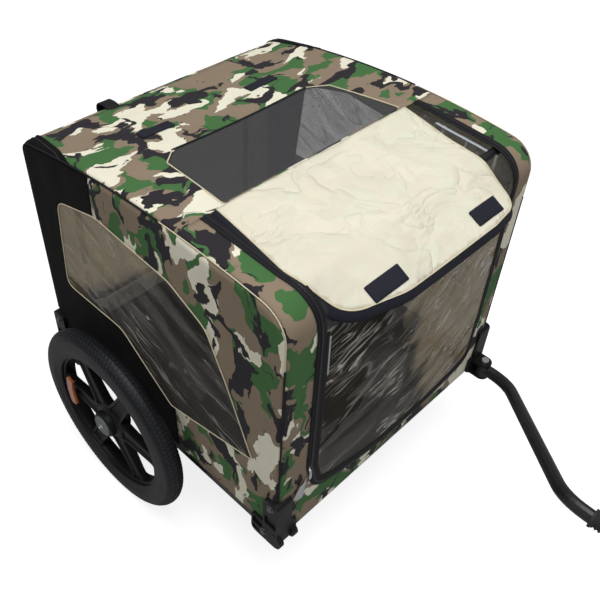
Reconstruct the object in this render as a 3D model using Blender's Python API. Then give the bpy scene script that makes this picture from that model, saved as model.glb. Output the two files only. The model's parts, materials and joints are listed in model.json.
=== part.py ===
"""Two-wheeled bicycle cargo trailer with a zipped fabric cabin, modelled as separate pieces in metres.

Axes: +X points forward along the tow arm, +Y to the trailer's left, +Z up, and the ground is z = 0.
Sizes are measured from the middle of the cabin. An empty named trailer carries every piece and shifts
the whole trailer, so that its bounding box stands centred on the origin.
"""
import math

import bmesh
import bpy
from mathutils import Matrix, Vector

# Clearances
GAP = 0.0003                    # between pieces that touch
RUNNING_GAP = 0.0006            # beside pieces that turn

# Cabin: a box of fabric over two tubular hoops
CABIN_LENGTH = 0.627
CABIN_WIDTH = 0.600
CABIN_HEIGHT = 0.546            # from the rails' underside to the roof's crest
ROOF_CREST_X = 0.080            # where the arched roof is highest
REAR_ROOF_DROP = 0.041          # how far the roof falls from its crest to the rear
FRONT_TOP_RADIUS = 0.055
REAR_TOP_RADIUS = 0.028
FABRIC = 0.003
ARC_STEPS = 8
ROOF_STEPS = 12

# Base frame of square tube
RAIL_SIZE = 0.022
RAIL_WALL = 0.0016
RAIL_EDGE_RADIUS = 0.003
AXLE_ABOVE_RAIL_BOTTOM = 0.008
RAIL_INSET = 0.002              # from the cabin's side to the rail's outer face
FLOOR_THICKNESS = 0.008
HOOP_RADIUS = 0.008

# Corner connectors, moulded round the ends of rail, cross tube and hoop
CONNECTOR_PROUD = 0.006         # beyond the cabin's front or rear
CONNECTOR_SIDE = 0.0065         # beyond the cabin's side
CONNECTOR_FOOT_LENGTH = 0.062
CONNECTOR_FOOT_RISE = 0.015     # above the rail
CONNECTOR_BOTTOM_DROP = 0.012   # below the rail
CONNECTOR_HEIGHT = 0.124
CONNECTOR_UPRIGHT_WIDTH = 0.034
CONNECTOR_FOOT_DEPTH = 0.018    # inwards of the rail
CONNECTOR_UPRIGHT_DEPTH = 0.005
TUBE_ENGAGEMENT = 0.040         # how far a rail reaches into a connector
HOOP_FOOT_RISE = 0.003          # web between the rail and the hoop's foot
POCKET_DEPTH = 0.004
RIB = 0.004
LOBE_REACH = 0.009
LOBE_THICKNESS = 0.010
BOLT_HEAD_RADIUS = 0.0055
BOLT_HEAD_HEIGHT = 0.003
EAR_REACH = 0.034
EAR_THICKNESS = 0.006
EAR_GAP = 0.028

# Side walls: a black rear panel, a patterned front panel and a clear window
WINDOW_LOWER_CORNERS = [        # x, height above the rails' underside, and corner radius
    (-0.243, 0.229, 0.020),
    (-0.075, 0.236, 0.040),
    (0.048, 0.133, 0.016),
    (0.252, 0.177, 0.006),
]
WINDOW_UPPER_CORNERS = [        # x, drop below the roof's crest, and corner radius
    (0.197, 0.235, 0.080),
    (0.152, 0.143, 0.050),
    (0.070, 0.103, 0.060),
    (-0.110, 0.087, 0.080),
    (-0.222, 0.117, 0.032),
]
SIDE_SEAM_TOP_X = -0.115        # where the black panel ends under the roof
SIDE_SEAM_BOTTOM_X = 0.058      # where it ends above the rail
SIDE_SEAM_BEND_HEIGHT = 0.291   # above the rails' underside, inside the window, which the seam would cross
SIDE_SEAM_BEND_RISE = 0.160     # height of the slanted piece between the seam's two ends

# Roof: fixed rear part with a mesh window, and a hinge seam for the door and the flap
HINGE_SEAM_X = 0.092
MESH_REAR_X = -0.090
MESH_FRONT_X = 0.086
MESH_REAR_MARGIN = 0.150        # from the cabin's side
MESH_SIDE_MARGIN = 0.114
MESH_FRONT_MARGIN = 0.096
MESH_CHAMFER = 0.028

# Front: a zip runs in a U round a clear door, whose lower part swings up
DOOR_RIGHT_MARGIN = 0.063       # from the cabin's side
DOOR_LEFT_MARGIN = 0.050
DOOR_SILL = 0.061               # above the rails' underside
DOOR_CORNER_RADIUS = 0.045
DOOR_HINGE_DROP = 0.080         # below the roof's crest
ZIP_WIDTH = 0.013

# Rear: the same, all in one panel
REAR_DOOR_MARGIN = 0.075
REAR_DOOR_SILL = 0.073
REAR_DOOR_HINGE_DROP = 0.095

# Flap: lies forward like a peak over the door, or folds back over the roof's mesh window
FLAP_RIGHT_MARGIN = 0.079       # from the cabin's side
FLAP_LEFT_MARGIN = 0.093
FLAP_DROOP = 27.0               # slope of its free end, in degrees
FLAP_PEAK = 0.084               # length of the free end in front of the bend
FLAP_CORNER_RADIUS = 0.070
HOOK_PATCH_LENGTH = 0.068
HOOK_PATCH_WIDTH = 0.028
HOOK_PATCH_THICKNESS = 0.0015
HOOK_PATCH_FROM_EDGE = 0.012
HOOK_PATCH_FROM_SIDE = 0.058
LOOP_STRIP_WIDTH = 0.022
LOOP_STRIP_SLACK = 0.008        # how far the strips stand behind the folded patches' middle

# Zip sliders
SLIDER_WIDTH = 0.010
SLIDER_LENGTH = 0.017
SLIDER_THICKNESS = 0.004
SLIDER_PULL_LENGTH = 0.026
SLIDER_PULL_WIDTH = 0.006
SLIDER_HEIGHT = 0.141           # above the rails' underside

# Reflective tab on the front's right pillar
TAB_MARGIN = 0.0465             # from the cabin's side to the tab's middle
TAB_HEIGHT = 0.111              # above the rails' underside
TAB_LENGTH = 0.042
TAB_WIDTH = 0.024
TAB_TILT = 32.0
TAB_SLANT = 0.5                 # how much its short edges lean

# Wheels: moulded, with six broad spokes
WHEEL_RADIUS = 0.197
TYRE_WIDTH = 0.042
TYRE_DEPTH = 0.046
WHEEL_X = -0.088
WHEEL_MARGIN = 0.045            # from the cabin's side to the wheel's middle plane
RIM_DEPTH = 0.0065
RIM_FLANGE_RISE = 0.0075
RIM_WIDTH = 0.034
RIM_FLANGE = 0.0022
SPOKE_COUNT = 6
SPOKE_WIDTH_AT_HUB = 0.040
SPOKE_WIDTH_AT_RIM = 0.031
SPOKE_DEPTH_AT_HUB = 0.032
SPOKE_DEPTH_AT_RIM = 0.023
SPOKE_WEB = 0.012
OPENING_INNER_RADIUS = 0.064
OPENING_CORNER_RADIUS = 0.010
HUB_RADIUS = 0.027
HUB_WIDTH = 0.047
WHEEL_STEPS = 48
REFLECTOR_FROM_SEAT = 0.035     # from the tyre's seat in to the reflector's middle
REFLECTOR_LENGTH = 0.074
REFLECTOR_WIDTH = 0.018
REFLECTOR_THICKNESS = 0.005

# Axles: quick-release shafts plugged into receivers on the rails
AXLE_RADIUS = 0.006
BEARING_RADIUS = 0.011
BEARING_FLANGE_RADIUS = 0.015
BEARING_FLANGE = 0.0016
HUB_CAP_RADIUS = 0.022
HUB_CAP_THICKNESS = 0.0045
BUTTON_RADIUS = 0.0038
BUTTON_PROUD = 0.004
BUTTON_TRAVEL = 0.003
BUTTON_DEPTH = 0.016
RECEIVER_PLATE_LENGTH = 0.096
RECEIVER_PLATE_THICKNESS = 0.006
RECEIVER_BOSS_RADIUS = 0.016
RECEIVER_DROP = 0.015

# Tow arm, pinned to the front left connector
ARM_RADIUS = 0.0125
ARM_BOSS_RADIUS = 0.015
ARM_STRAIGHT = 0.060
ARM_BEND_LENGTH = 0.080
ARM_END_X = 0.690
ARM_END_Y = 0.030
ARM_END_Z = 0.330
ARM_END_STRAIGHT = 0.050
ARM_PIN_RADIUS = 0.004
ARM_PIN_HEAD_RADIUS = 0.008
ARM_PIN_HEAD_HEIGHT = 0.006

# Hitch: a rubber coupler, a steel fork, a plate for the bicycle's axle and a pin
COUPLER_LENGTH = 0.046
COUPLER_RADIUS = 0.017
COUPLER_WAIST_RADIUS = 0.012
COUPLER_RIB_SHARE = 0.75        # of the end collars' height over the waist
FORK_LENGTH = 0.040
FORK_WIDTH = 0.026
FORK_THICKNESS = 0.003
FORK_GAP = 0.012
HITCH_PLATE_LENGTH = 0.070
HITCH_PLATE_WIDTH = 0.034
HITCH_PLATE_THICKNESS = 0.005
HITCH_PLATE_HOLE_RADIUS = 0.005
HITCH_LUG_THICKNESS = 0.008
HITCH_LUG_RADIUS = 0.010
HITCH_PIN_RADIUS = 0.0032

# Heights, edges and centres worked out from the sizes above
HALF_LENGTH = CABIN_LENGTH / 2
HALF_WIDTH = CABIN_WIDTH / 2
RAIL_BOTTOM = WHEEL_RADIUS - AXLE_ABOVE_RAIL_BOTTOM
ROOF_HEIGHT = RAIL_BOTTOM + CABIN_HEIGHT
RAIL_TOP = RAIL_BOTTOM + RAIL_SIZE
RAIL_Z = RAIL_BOTTOM + RAIL_SIZE / 2
RAIL_OUTER_Y = HALF_WIDTH - RAIL_INSET
RAIL_INNER_Y = RAIL_OUTER_Y - RAIL_SIZE
RAIL_Y = RAIL_OUTER_Y - RAIL_SIZE / 2
CROSS_OUTER_X = HALF_LENGTH - FABRIC - GAP
CROSS_X = CROSS_OUTER_X - RAIL_SIZE / 2
CROSS_END_Y = RAIL_INNER_Y - GAP
SHEET_HALF_WIDTH = HALF_WIDTH - FABRIC - GAP
PANEL_BOTTOM = RAIL_TOP + GAP
END_SHEET_BOTTOM = RAIL_BOTTOM + GAP
HOOP_INSET = FABRIC + GAP + HOOP_RADIUS
HOOP_Y = HALF_WIDTH - HOOP_INSET
CONNECTOR_FACE_X = HALF_LENGTH + CONNECTOR_PROUD
CONNECTOR_OUTER_Y = HALF_WIDTH + CONNECTOR_SIDE
CONNECTOR_BOTTOM = RAIL_BOTTOM - CONNECTOR_BOTTOM_DROP
CONNECTOR_TOP = CONNECTOR_BOTTOM + CONNECTOR_HEIGHT
CONNECTOR_FOOT_TOP = RAIL_TOP + CONNECTOR_FOOT_RISE
FOOT_INNER_Y = RAIL_INNER_Y - CONNECTOR_FOOT_DEPTH
UPRIGHT_INNER_Y = RAIL_INNER_Y - CONNECTOR_UPRIGHT_DEPTH
RAIL_END_X = CONNECTOR_FACE_X - CONNECTOR_FOOT_LENGTH + TUBE_ENGAGEMENT
ROOF_ARCH = REAR_ROOF_DROP / (HALF_LENGTH + ROOF_CREST_X) ** 2
SIDE_SEAM_BEND_Z = RAIL_BOTTOM + SIDE_SEAM_BEND_HEIGHT
MESH_REAR_HALF_WIDTH = HALF_WIDTH - MESH_REAR_MARGIN
MESH_SIDE_HALF_WIDTH = HALF_WIDTH - MESH_SIDE_MARGIN
MESH_FRONT_HALF_WIDTH = HALF_WIDTH - MESH_FRONT_MARGIN
DOOR_RIGHT_Y = DOOR_RIGHT_MARGIN - HALF_WIDTH
DOOR_LEFT_Y = HALF_WIDTH - DOOR_LEFT_MARGIN
DOOR_BOTTOM_Z = RAIL_BOTTOM + DOOR_SILL
DOOR_HINGE_Z = ROOF_HEIGHT - DOOR_HINGE_DROP
REAR_DOOR_HALF_WIDTH = HALF_WIDTH - REAR_DOOR_MARGIN
REAR_DOOR_BOTTOM_Z = RAIL_BOTTOM + REAR_DOOR_SILL
REAR_DOOR_HINGE_Z = ROOF_HEIGHT - REAR_DOOR_HINGE_DROP
FLAP_RIGHT_Y = FLAP_RIGHT_MARGIN - HALF_WIDTH
FLAP_LEFT_Y = HALF_WIDTH - FLAP_LEFT_MARGIN
SLIDER_Z = RAIL_BOTTOM + SLIDER_HEIGHT
TAB_CENTRE_Y = TAB_MARGIN - HALF_WIDTH
TAB_CENTRE_Z = RAIL_BOTTOM + TAB_HEIGHT
WHEEL_Y = HALF_WIDTH + WHEEL_MARGIN
AXLE_Z = WHEEL_RADIUS
HUB_INNER_Y = WHEEL_Y - HUB_WIDTH / 2
HUB_OUTER_Y = WHEEL_Y + HUB_WIDTH / 2
RECEIVER_BOSS_Y = HUB_INNER_Y - BEARING_FLANGE - RUNNING_GAP
AXLE_END_Y = HUB_OUTER_Y + HUB_CAP_THICKNESS
RIM_SEAT_RADIUS = WHEEL_RADIUS - TYRE_DEPTH
REFLECTOR_RADIUS = RIM_SEAT_RADIUS - REFLECTOR_FROM_SEAT
ARM_PIVOT_X = CONNECTOR_FACE_X + EAR_REACH - ARM_BOSS_RADIUS
ARM_PIVOT_Y = RAIL_Y
ARM_Z = RAIL_Z
COUPLER_END_X = ARM_END_X + COUPLER_LENGTH
FORK_PIN_X = COUPLER_END_X + FORK_LENGTH - FORK_WIDTH / 2
PLATE_END_X = FORK_PIN_X + HITCH_LUG_RADIUS + HITCH_PLATE_LENGTH
ORIGIN_SHIFT_X = -(PLATE_END_X - CONNECTOR_FACE_X) / 2

COLOURS = {                     # base colour, roughness, metallic
    "black_steel": ((0.020, 0.020, 0.022), 0.42, 0.6),
    "bright_steel": ((0.55, 0.56, 0.57), 0.28, 1.0),
    "black_plastic": ((0.016, 0.016, 0.017), 0.45, 0.0),
    "grey_plastic": ((0.16, 0.17, 0.17), 0.50, 0.0),
    "rubber": ((0.018, 0.019, 0.021), 0.80, 0.0),
    "black_fabric": ((0.010, 0.010, 0.012), 0.90, 0.0),
    "camouflage": ((0.130, 0.135, 0.070), 0.88, 0.0),
    "cream_fabric": ((0.720, 0.670, 0.500), 0.88, 0.0),
    "clear_sheet": ((0.300, 0.300, 0.290), 0.12, 0.0),
    "mesh": ((0.050, 0.050, 0.055), 0.85, 0.0),
    "tape": ((0.014, 0.014, 0.017), 0.80, 0.0),
    "board": ((0.035, 0.035, 0.038), 0.70, 0.0),
    "amber": ((0.750, 0.180, 0.020), 0.20, 0.0),
    "silver_tape": ((0.500, 0.510, 0.520), 0.30, 0.3),
}


def clear_scene():
    """Removes whatever the file held, so that the script can run again in the same session."""
    for item in list(bpy.data.objects):
        bpy.data.objects.remove(item, do_unlink=True)


def make_materials():
    """One Principled material for each kind of surface."""
    made = {}
    for name, (colour, roughness, metallic) in COLOURS.items():
        material = bpy.data.materials.new(name)
        material.use_nodes = True
        shader = material.node_tree.nodes["Principled BSDF"]
        shader.inputs["Base Color"].default_value = (*colour, 1.0)
        shader.inputs["Roughness"].default_value = roughness
        shader.inputs["Metallic"].default_value = metallic
        material.diffuse_color = (*colour, 1.0)
        made[name] = material
    return made


clear_scene()
MATERIALS = make_materials()
TRAILER = bpy.data.objects.new("trailer", None)
bpy.context.collection.objects.link(TRAILER)


def add_object(name, data, material=None, parent=None):
    """Links a mesh or curve under the trailer's empty, or as a hidden cutter where it has no material."""
    item = bpy.data.objects.new(name, data)
    bpy.context.collection.objects.link(item)
    item.parent = parent or TRAILER
    if material:
        data.materials.append(MATERIALS[material])
    else:
        item.hide_render = True
        item.display_type = "WIRE"
    return item


def mesh_object(name, shape, material=None):
    """Turns a bmesh into an object whose faces point outwards."""
    bmesh.ops.recalc_face_normals(shape, faces=shape.faces)
    mesh = bpy.data.meshes.new(name)
    shape.to_mesh(mesh)
    shape.free()
    return add_object(name, mesh, material)


def set_origin(item, point):
    """Moves an object's origin to a point, such as one on its joint's axis, and leaves its shape in place."""
    point = Vector(point)
    item.data.transform(Matrix.Translation(-point))
    item.location = point
    return item


def on_axes(axis, u, v, w):
    """A point from two coordinates across an axis and one along it."""
    return {"x": (w, u, v), "y": (u, w, v), "z": (u, v, w)}[axis]


def prism(name, outline, axis, low, high, material=None):
    """A flat outline of (u, v) points pushed from low to high along an axis."""
    shape = bmesh.new()
    corners = [shape.verts.new(on_axes(axis, u, v, low)) for u, v in outline]
    face = shape.faces.new(corners)
    pushed = bmesh.ops.extrude_face_region(shape, geom=[face])
    moved = [element for element in pushed["geom"] if isinstance(element, bmesh.types.BMVert)]
    bmesh.ops.translate(shape, verts=moved, vec=Vector(on_axes(axis, 0, 0, high - low)))
    return mesh_object(name, shape, material)


def rectangle(u_low, v_low, u_high, v_high):
    """Corners of a rectangle, anticlockwise."""
    return [(u_low, v_low), (u_high, v_low), (u_high, v_high), (u_low, v_high)]


def rounded(corners, radius=None, steps=5):
    """Rounds the corners of an outline. A corner is (u, v) or (u, v, its own radius)."""
    points = []
    count = len(corners)
    for index in range(count):
        here = Vector(corners[index][:2])
        before = Vector(corners[index - 1][:2]) - here
        after = Vector(corners[(index + 1) % count][:2]) - here
        turn = math.pi - before.angle(after)
        wanted = corners[index][2] if len(corners[index]) > 2 else radius
        if not wanted or turn < math.radians(12):
            points.append(tuple(here))
            continue
        reach = min(wanted * math.tan(turn / 2), 0.45 * before.length, 0.45 * after.length)
        start = here + before.normalized() * reach
        end = here + after.normalized() * reach
        for step in range(steps + 1):
            t = step / steps
            blend = start * (1 - t) ** 2 + here * 2 * t * (1 - t) + end * t ** 2
            points.append(tuple(blend))
    return points


def circle(u, v, radius, steps=20, start=0.0):
    """Points round a circle."""
    angles = [start + 2 * math.pi * step / steps for step in range(steps)]
    return [(u + radius * math.cos(angle), v + radius * math.sin(angle)) for angle in angles]


def revolved(name, profile, axis, centre, steps, material=None):
    """Turns a closed profile of (radius, distance along the axis) points once round the axis."""
    shape = bmesh.new()
    corners = [shape.verts.new(on_axes(axis, radius, 0, along)) for radius, along in profile]
    count = len(corners)
    edges = [shape.edges.new((corners[i], corners[(i + 1) % count])) for i in range(count)]
    bmesh.ops.spin(
        shape,
        geom=corners + edges,
        cent=(0, 0, 0),
        axis=on_axes(axis, 0, 0, 1),
        angle=2 * math.pi,
        steps=steps,
        use_merge=True,
    )
    bmesh.ops.remove_doubles(shape, verts=shape.verts, dist=0.00001)
    bmesh.ops.translate(shape, verts=shape.verts, vec=Vector(centre))
    item = mesh_object(name, shape, material)
    item.data.shade_smooth()
    item.data.set_sharp_from_angle(angle=math.radians(35))
    return item


def rod(name, axis, centre, radius, low, high, material=None, steps=16):
    """A round rod along an axis through a centre given as (u, v)."""
    return prism(name, circle(centre[0], centre[1], radius, steps), axis, low, high, material)


def tube_along(name, points, radius, material, resolution=4):
    """A round tube with closed ends along a list of points."""
    curve = bpy.data.curves.new(name, "CURVE")
    curve.dimensions = "3D"
    curve.bevel_depth = radius
    curve.bevel_resolution = resolution
    curve.use_fill_caps = True
    spline = curve.splines.new("POLY")
    spline.points.add(len(points) - 1)
    for target, point in zip(spline.points, points):
        target.co = (*point, 1.0)
    return add_object(name, curve, material)


def combine(item, other, operation):
    """Cuts, joins or crosses one object with another by a Boolean modifier."""
    modifier = item.modifiers.new(other.name, "BOOLEAN")
    modifier.operation = operation
    modifier.object = other
    modifier.solver = "EXACT"
    return item


def cut(item, *cutters):
    """Takes each cutter out of an object."""
    for cutter in cutters:
        combine(item, cutter, "DIFFERENCE")
    return item


def join(item, *others):
    """Adds each shape to an object."""
    for other in others:
        combine(item, other, "UNION")
    return item


def keep_inside(item, region):
    """Keeps only what lies inside a region."""
    return combine(item, region, "INTERSECT")


# The cabin's outline seen from the side

def roof_z(x):
    """Height of the arched roof's outer face."""
    return ROOF_HEIGHT - ROOF_ARCH * (x - ROOF_CREST_X) ** 2


def roof_lean(x):
    """Angle from the vertical of the roof's outward normal, positive towards the front."""
    return math.atan(2 * ROOF_ARCH * (x - ROOF_CREST_X))


def roof_point(x, inset):
    """A point below or above the roof, measured square to it."""
    lean = roof_lean(x)
    return (x - inset * math.sin(lean), roof_z(x) - inset * math.cos(lean))


def top_fillet(end, radius):
    """Centre of a top corner's arc, the x where it meets the roof, and the roof's lean there."""
    meet = end * (HALF_LENGTH - radius)
    for _ in range(12):
        meet = end * (HALF_LENGTH - radius) + radius * math.sin(roof_lean(meet))
    lean = roof_lean(meet)
    return (end * (HALF_LENGTH - radius), roof_z(meet) - radius * math.cos(lean)), meet, lean


def corner_arc(end, inset, start_angle=0.0):
    """Points round the front (end 1) or rear (end -1) top corner, from the wall up to the roof."""
    radius = FRONT_TOP_RADIUS if end > 0 else REAR_TOP_RADIUS
    (centre_x, centre_z), _, lean = top_fillet(end, radius)
    last_angle = math.pi / 2 - end * lean
    points = []
    for step in range(ARC_STEPS + 1):
        angle = start_angle + (last_angle - start_angle) * step / ARC_STEPS
        reach = radius - inset
        points.append((centre_x + end * reach * math.cos(angle), centre_z + reach * math.sin(angle)))
    return points


def roof_line(x_from, x_to, inset):
    """Points along the roof between two places."""
    steps = [x_from + (x_to - x_from) * step / ROOF_STEPS for step in range(ROOF_STEPS + 1)]
    return [roof_point(x, inset) for x in steps]


FRONT_MEET_X = top_fillet(1, FRONT_TOP_RADIUS)[1]
REAR_MEET_X = top_fillet(-1, REAR_TOP_RADIUS)[1]
FRONT_ARC_CENTRE = top_fillet(1, FRONT_TOP_RADIUS)[0]


def side_profile(inset, bottom):
    """The whole outline from the front's bottom edge over the roof to the rear's bottom edge."""
    front = [(HALF_LENGTH - inset, bottom)] + corner_arc(1, inset)
    roof = roof_line(FRONT_MEET_X, REAR_MEET_X, inset)[1:-1]
    rear = list(reversed(corner_arc(-1, inset))) + [(-HALF_LENGTH + inset, bottom)]
    return front + roof + rear


def front_run(inset, bottom, rear_x):
    """From the front's bottom edge over the top corner to a place on the roof."""
    wall = [(HALF_LENGTH - inset, bottom)] + corner_arc(1, inset)
    return wall + roof_line(FRONT_MEET_X, rear_x, inset)[1:]


def sheet(name, line_at, outer, thickness, y_low, y_high, material):
    """A bent sheet: the strip between two offsets of one line, pushed across the cabin."""
    outline = line_at(outer) + list(reversed(line_at(outer + thickness)))
    return prism(name, outline, "y", y_low, y_high, material)


# Base frame

def square_outline(u, v, grow):
    """Rounded square of a rail's section, grown or shrunk all round."""
    half = RAIL_SIZE / 2 + grow
    return rounded(rectangle(u - half, v - half, u + half, v + half), max(RAIL_EDGE_RADIUS + grow, 0.0008), 3)


def square_tube(name, axis, u, v, low, high):
    """A hollow square tube."""
    tube = prism(name, square_outline(u, v, 0), axis, low, high, "black_steel")
    bore = prism(name + "_bore", square_outline(u, v, -RAIL_WALL), axis, low - 0.01, high + 0.01)
    return cut(tube, bore)


def side_name(side):
    return "left" if side > 0 else "right"


def end_name(end):
    return "front" if end > 0 else "rear"


def make_base_frame():
    """Two rails, two cross tubes, the beam that takes the axles, and the floor board."""
    for side in (-1, 1):
        label = side_name(side)
        rail = square_tube(label + "_base_rail", "x", side * RAIL_Y, RAIL_Z, -RAIL_END_X, RAIL_END_X)
        hole = rod(label + "_rail_hole", "y", (WHEEL_X, AXLE_Z), AXLE_RADIUS + GAP, -HALF_WIDTH, HALF_WIDTH)
        cut(rail, hole)
    for end in (-1, 1):
        square_tube(end_name(end) + "_cross_tube", "y", end * CROSS_X, RAIL_Z, -CROSS_END_Y, CROSS_END_Y)
    square_tube("axle_beam", "y", WHEEL_X, RAIL_Z, -CROSS_END_Y, CROSS_END_Y)
    length = HALF_LENGTH - FABRIC - GAP
    notch_x = CONNECTOR_FACE_X - CONNECTOR_FOOT_LENGTH - GAP
    notch_y = FOOT_INNER_Y - GAP
    outline = []
    for sx, sy in ((1, 1), (-1, 1), (-1, -1), (1, -1)):
        corner = [(length, notch_y), (notch_x, notch_y), (notch_x, SHEET_HALF_WIDTH)]
        if sx * sy < 0:
            corner.reverse()
        outline += [(sx * x, sy * y) for x, y in corner]
    prism("floor_panel", outline, "z", PANEL_BOTTOM, PANEL_BOTTOM + FLOOR_THICKNESS, "board")


def connector_outline(end, grow):
    """Side view of a corner connector: a foot along the rail and an upright round the hoop."""
    face = CONNECTOR_FACE_X + grow
    foot = CONNECTOR_FACE_X - CONNECTOR_FOOT_LENGTH - grow
    upright = CONNECTOR_FACE_X - CONNECTOR_UPRIGHT_WIDTH - grow
    corners = [
        (face, CONNECTOR_BOTTOM - grow, 0.010),
        (face, CONNECTOR_TOP + grow, 0.010),
        (upright, CONNECTOR_TOP + grow, 0.010),
        (upright, CONNECTOR_FOOT_TOP + grow, 0.004),
        (foot, CONNECTOR_FOOT_TOP + grow, 0.006),
        (foot, CONNECTOR_BOTTOM - grow, 0.014),
    ]
    return rounded([(end * x, z, radius) for x, z, radius in corners], steps=4)


def connector_pockets(name, end, side):
    """Hollows in a connector's outer face, which leave its ribs."""
    floor_y = CONNECTOR_OUTER_Y - POCKET_DEPTH
    low_y, high_y = sorted((side * floor_y, side * (CONNECTOR_OUTER_Y + 0.01)))
    face = CONNECTOR_FACE_X - RIB
    back = CONNECTOR_FACE_X - CONNECTOR_FOOT_LENGTH + RIB
    upright = CONNECTOR_FACE_X - CONNECTOR_UPRIGHT_WIDTH + RIB
    middle = (CONNECTOR_BOTTOM + CONNECTOR_FOOT_TOP) / 2
    mid_x = (face + back) / 2
    shapes = [
        [(back, CONNECTOR_BOTTOM + 2 * RIB), (mid_x - RIB, CONNECTOR_BOTTOM + 2 * RIB), (back, middle - RIB)],
        [(face, middle - RIB), (mid_x + RIB, CONNECTOR_BOTTOM + 2 * RIB), (face, CONNECTOR_BOTTOM + 2 * RIB)],
        [(mid_x + RIB, middle), (face, middle), (face, CONNECTOR_FOOT_TOP - 2 * RIB)],
        rectangle(back, middle, mid_x - RIB, CONNECTOR_FOOT_TOP - RIB),
    ]
    upright_middle = (CONNECTOR_FOOT_TOP + CONNECTOR_TOP) / 2
    shapes.append(rectangle(upright, CONNECTOR_FOOT_TOP + RIB, face, upright_middle - 2 * RIB))
    cutters = []
    for index, shape in enumerate(shapes):
        outline = rounded([(end * x, z) for x, z in shape], 0.002, 2)
        cutters.append(prism(f"{name}_pocket_{index + 1}", outline, "y", low_y, high_y))
    return cutters


def connector_sockets(name, end, side):
    """Room for the rail, the cross tube and the hoop's foot."""
    rail_low, rail_high = sorted((0.0, end * (RAIL_END_X + GAP)))
    cross_low, cross_high = sorted((0.0, side * (CROSS_END_Y + GAP)))
    hoop_x = end * (HALF_LENGTH - HOOP_INSET)
    hoop_low = RAIL_TOP + HOOP_FOOT_RISE - GAP
    return [
        prism(name + "_rail_socket", square_outline(side * RAIL_Y, RAIL_Z, GAP), "x", rail_low, rail_high),
        prism(name + "_cross_socket", square_outline(end * CROSS_X, RAIL_Z, GAP), "y", cross_low, cross_high),
        rod(name + "_hoop_socket", "z", (hoop_x, side * HOOP_Y), HOOP_RADIUS + GAP, hoop_low, ROOF_HEIGHT),
    ]


def connector_bolts(name, end, side):
    """Two bolt heads on the outer face: one through the hoop's foot, one through the rail."""
    low_y, high_y = sorted((side * (CONNECTOR_OUTER_Y - POCKET_DEPTH - GAP),
                            side * (CONNECTOR_OUTER_Y + BOLT_HEAD_HEIGHT)))
    hoop_x = HALF_LENGTH - HOOP_INSET
    places = [(hoop_x, CONNECTOR_TOP - 0.016), (CONNECTOR_FACE_X - CONNECTOR_FOOT_LENGTH / 2, RAIL_Z)]
    return [
        rod(f"{name}_bolt_{index + 1}", "y", (end * x, z), BOLT_HEAD_RADIUS, low_y, high_y, steps=6)
        for index, (x, z) in enumerate(places)
    ]


def ear_outline(side, grow=0.0):
    """Plan of an ear that stands forward of a front connector, with a round nose."""
    radius = ARM_BOSS_RADIUS + grow
    nose = circle(ARM_PIVOT_X, side * ARM_PIVOT_Y, radius, 20, -math.pi / 2)[:11]
    back_x = CONNECTOR_FACE_X - 0.005
    return nose + [(back_x, side * ARM_PIVOT_Y + radius), (back_x, side * ARM_PIVOT_Y - radius)]


def connector_ears(name, side):
    """Two ears with a hole for the tow arm's pin."""
    ears = []
    for label, low in (("lower", ARM_Z - EAR_GAP / 2 - EAR_THICKNESS), ("upper", ARM_Z + EAR_GAP / 2)):
        ears.append(prism(f"{name}_{label}_ear", ear_outline(side), "z", low, low + EAR_THICKNESS))
    hole = rod(
        name + "_ear_hole", "z", (ARM_PIVOT_X, side * ARM_PIVOT_Y), ARM_PIN_RADIUS + GAP,
        ARM_Z - EAR_GAP, ARM_Z + EAR_GAP,
    )
    return ears, hole


def connector_lobes(name, side):
    """Two short rounded lobes side by side on a front connector's nose."""
    radius = (CONNECTOR_FOOT_TOP - CONNECTOR_BOTTOM) * 0.36
    centre_x = CONNECTOR_FACE_X + LOBE_REACH - radius
    outline = circle(centre_x, CONNECTOR_BOTTOM + radius, radius, 24)
    places = [CONNECTOR_OUTER_Y - LOBE_THICKNESS, FOOT_INNER_Y + 0.004]
    return [
        prism(f"{name}_lobe_{index + 1}", outline, "y", *sorted((side * low, side * (low + LOBE_THICKNESS))))
        for index, low in enumerate(places)
    ]


def make_connectors():
    """Four moulded corner connectors. The front left one has the ears that hold the tow arm."""
    for end in (1, -1):
        for side in (-1, 1):
            name = f"{end_name(end)}_{side_name(side)}_connector"
            y_low, y_high = sorted((side * UPRIGHT_INNER_Y, side * CONNECTOR_OUTER_Y))
            body = prism(name, connector_outline(end, 0), "y", y_low, y_high, "black_plastic")
            foot_x = sorted((end * CONNECTOR_FACE_X, end * (CONNECTOR_FACE_X - CONNECTOR_FOOT_LENGTH)))
            foot_y = sorted((side * FOOT_INNER_Y, side * (UPRIGHT_INNER_Y + 0.005)))
            foot_outline = rounded(
                rectangle(foot_x[0], CONNECTOR_BOTTOM + 0.014, foot_x[1], CONNECTOR_FOOT_TOP - 0.001), 0.004, 2)
            join(body, prism(name + "_foot", foot_outline, "y", *foot_y))
            if end > 0 and side > 0:
                ears, hole = connector_ears(name, side)
                join(body, *ears)
                cut(body, hole)
            cut(body, *connector_pockets(name, end, side))
            join(body, *connector_bolts(name, end, side))
            if end > 0 and side < 0:
                join(body, *connector_lobes(name, side))
            cut(body, *connector_sockets(name, end, side))


# Hoops and top bars

def make_hoops():
    """Two bent hoops stand in the connectors and carry the fabric. Two bars hold them apart at the top."""
    foot_z = RAIL_TOP + HOOP_FOOT_RISE
    for side in (-1, 1):
        points = [(x, side * HOOP_Y, z) for x, z in side_profile(HOOP_INSET, foot_z)]
        tube_along(side_name(side) + "_hoop", points, HOOP_RADIUS, "black_steel")
    bar_end = HOOP_Y - HOOP_RADIUS - GAP
    for end, meet_x in ((1, FRONT_MEET_X), (-1, REAR_MEET_X)):
        rod(end_name(end) + "_top_bar", "y", roof_point(meet_x, HOOP_INSET), HOOP_RADIUS,
            -bar_end, bar_end, "black_steel", steps=12)


# Side walls

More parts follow.
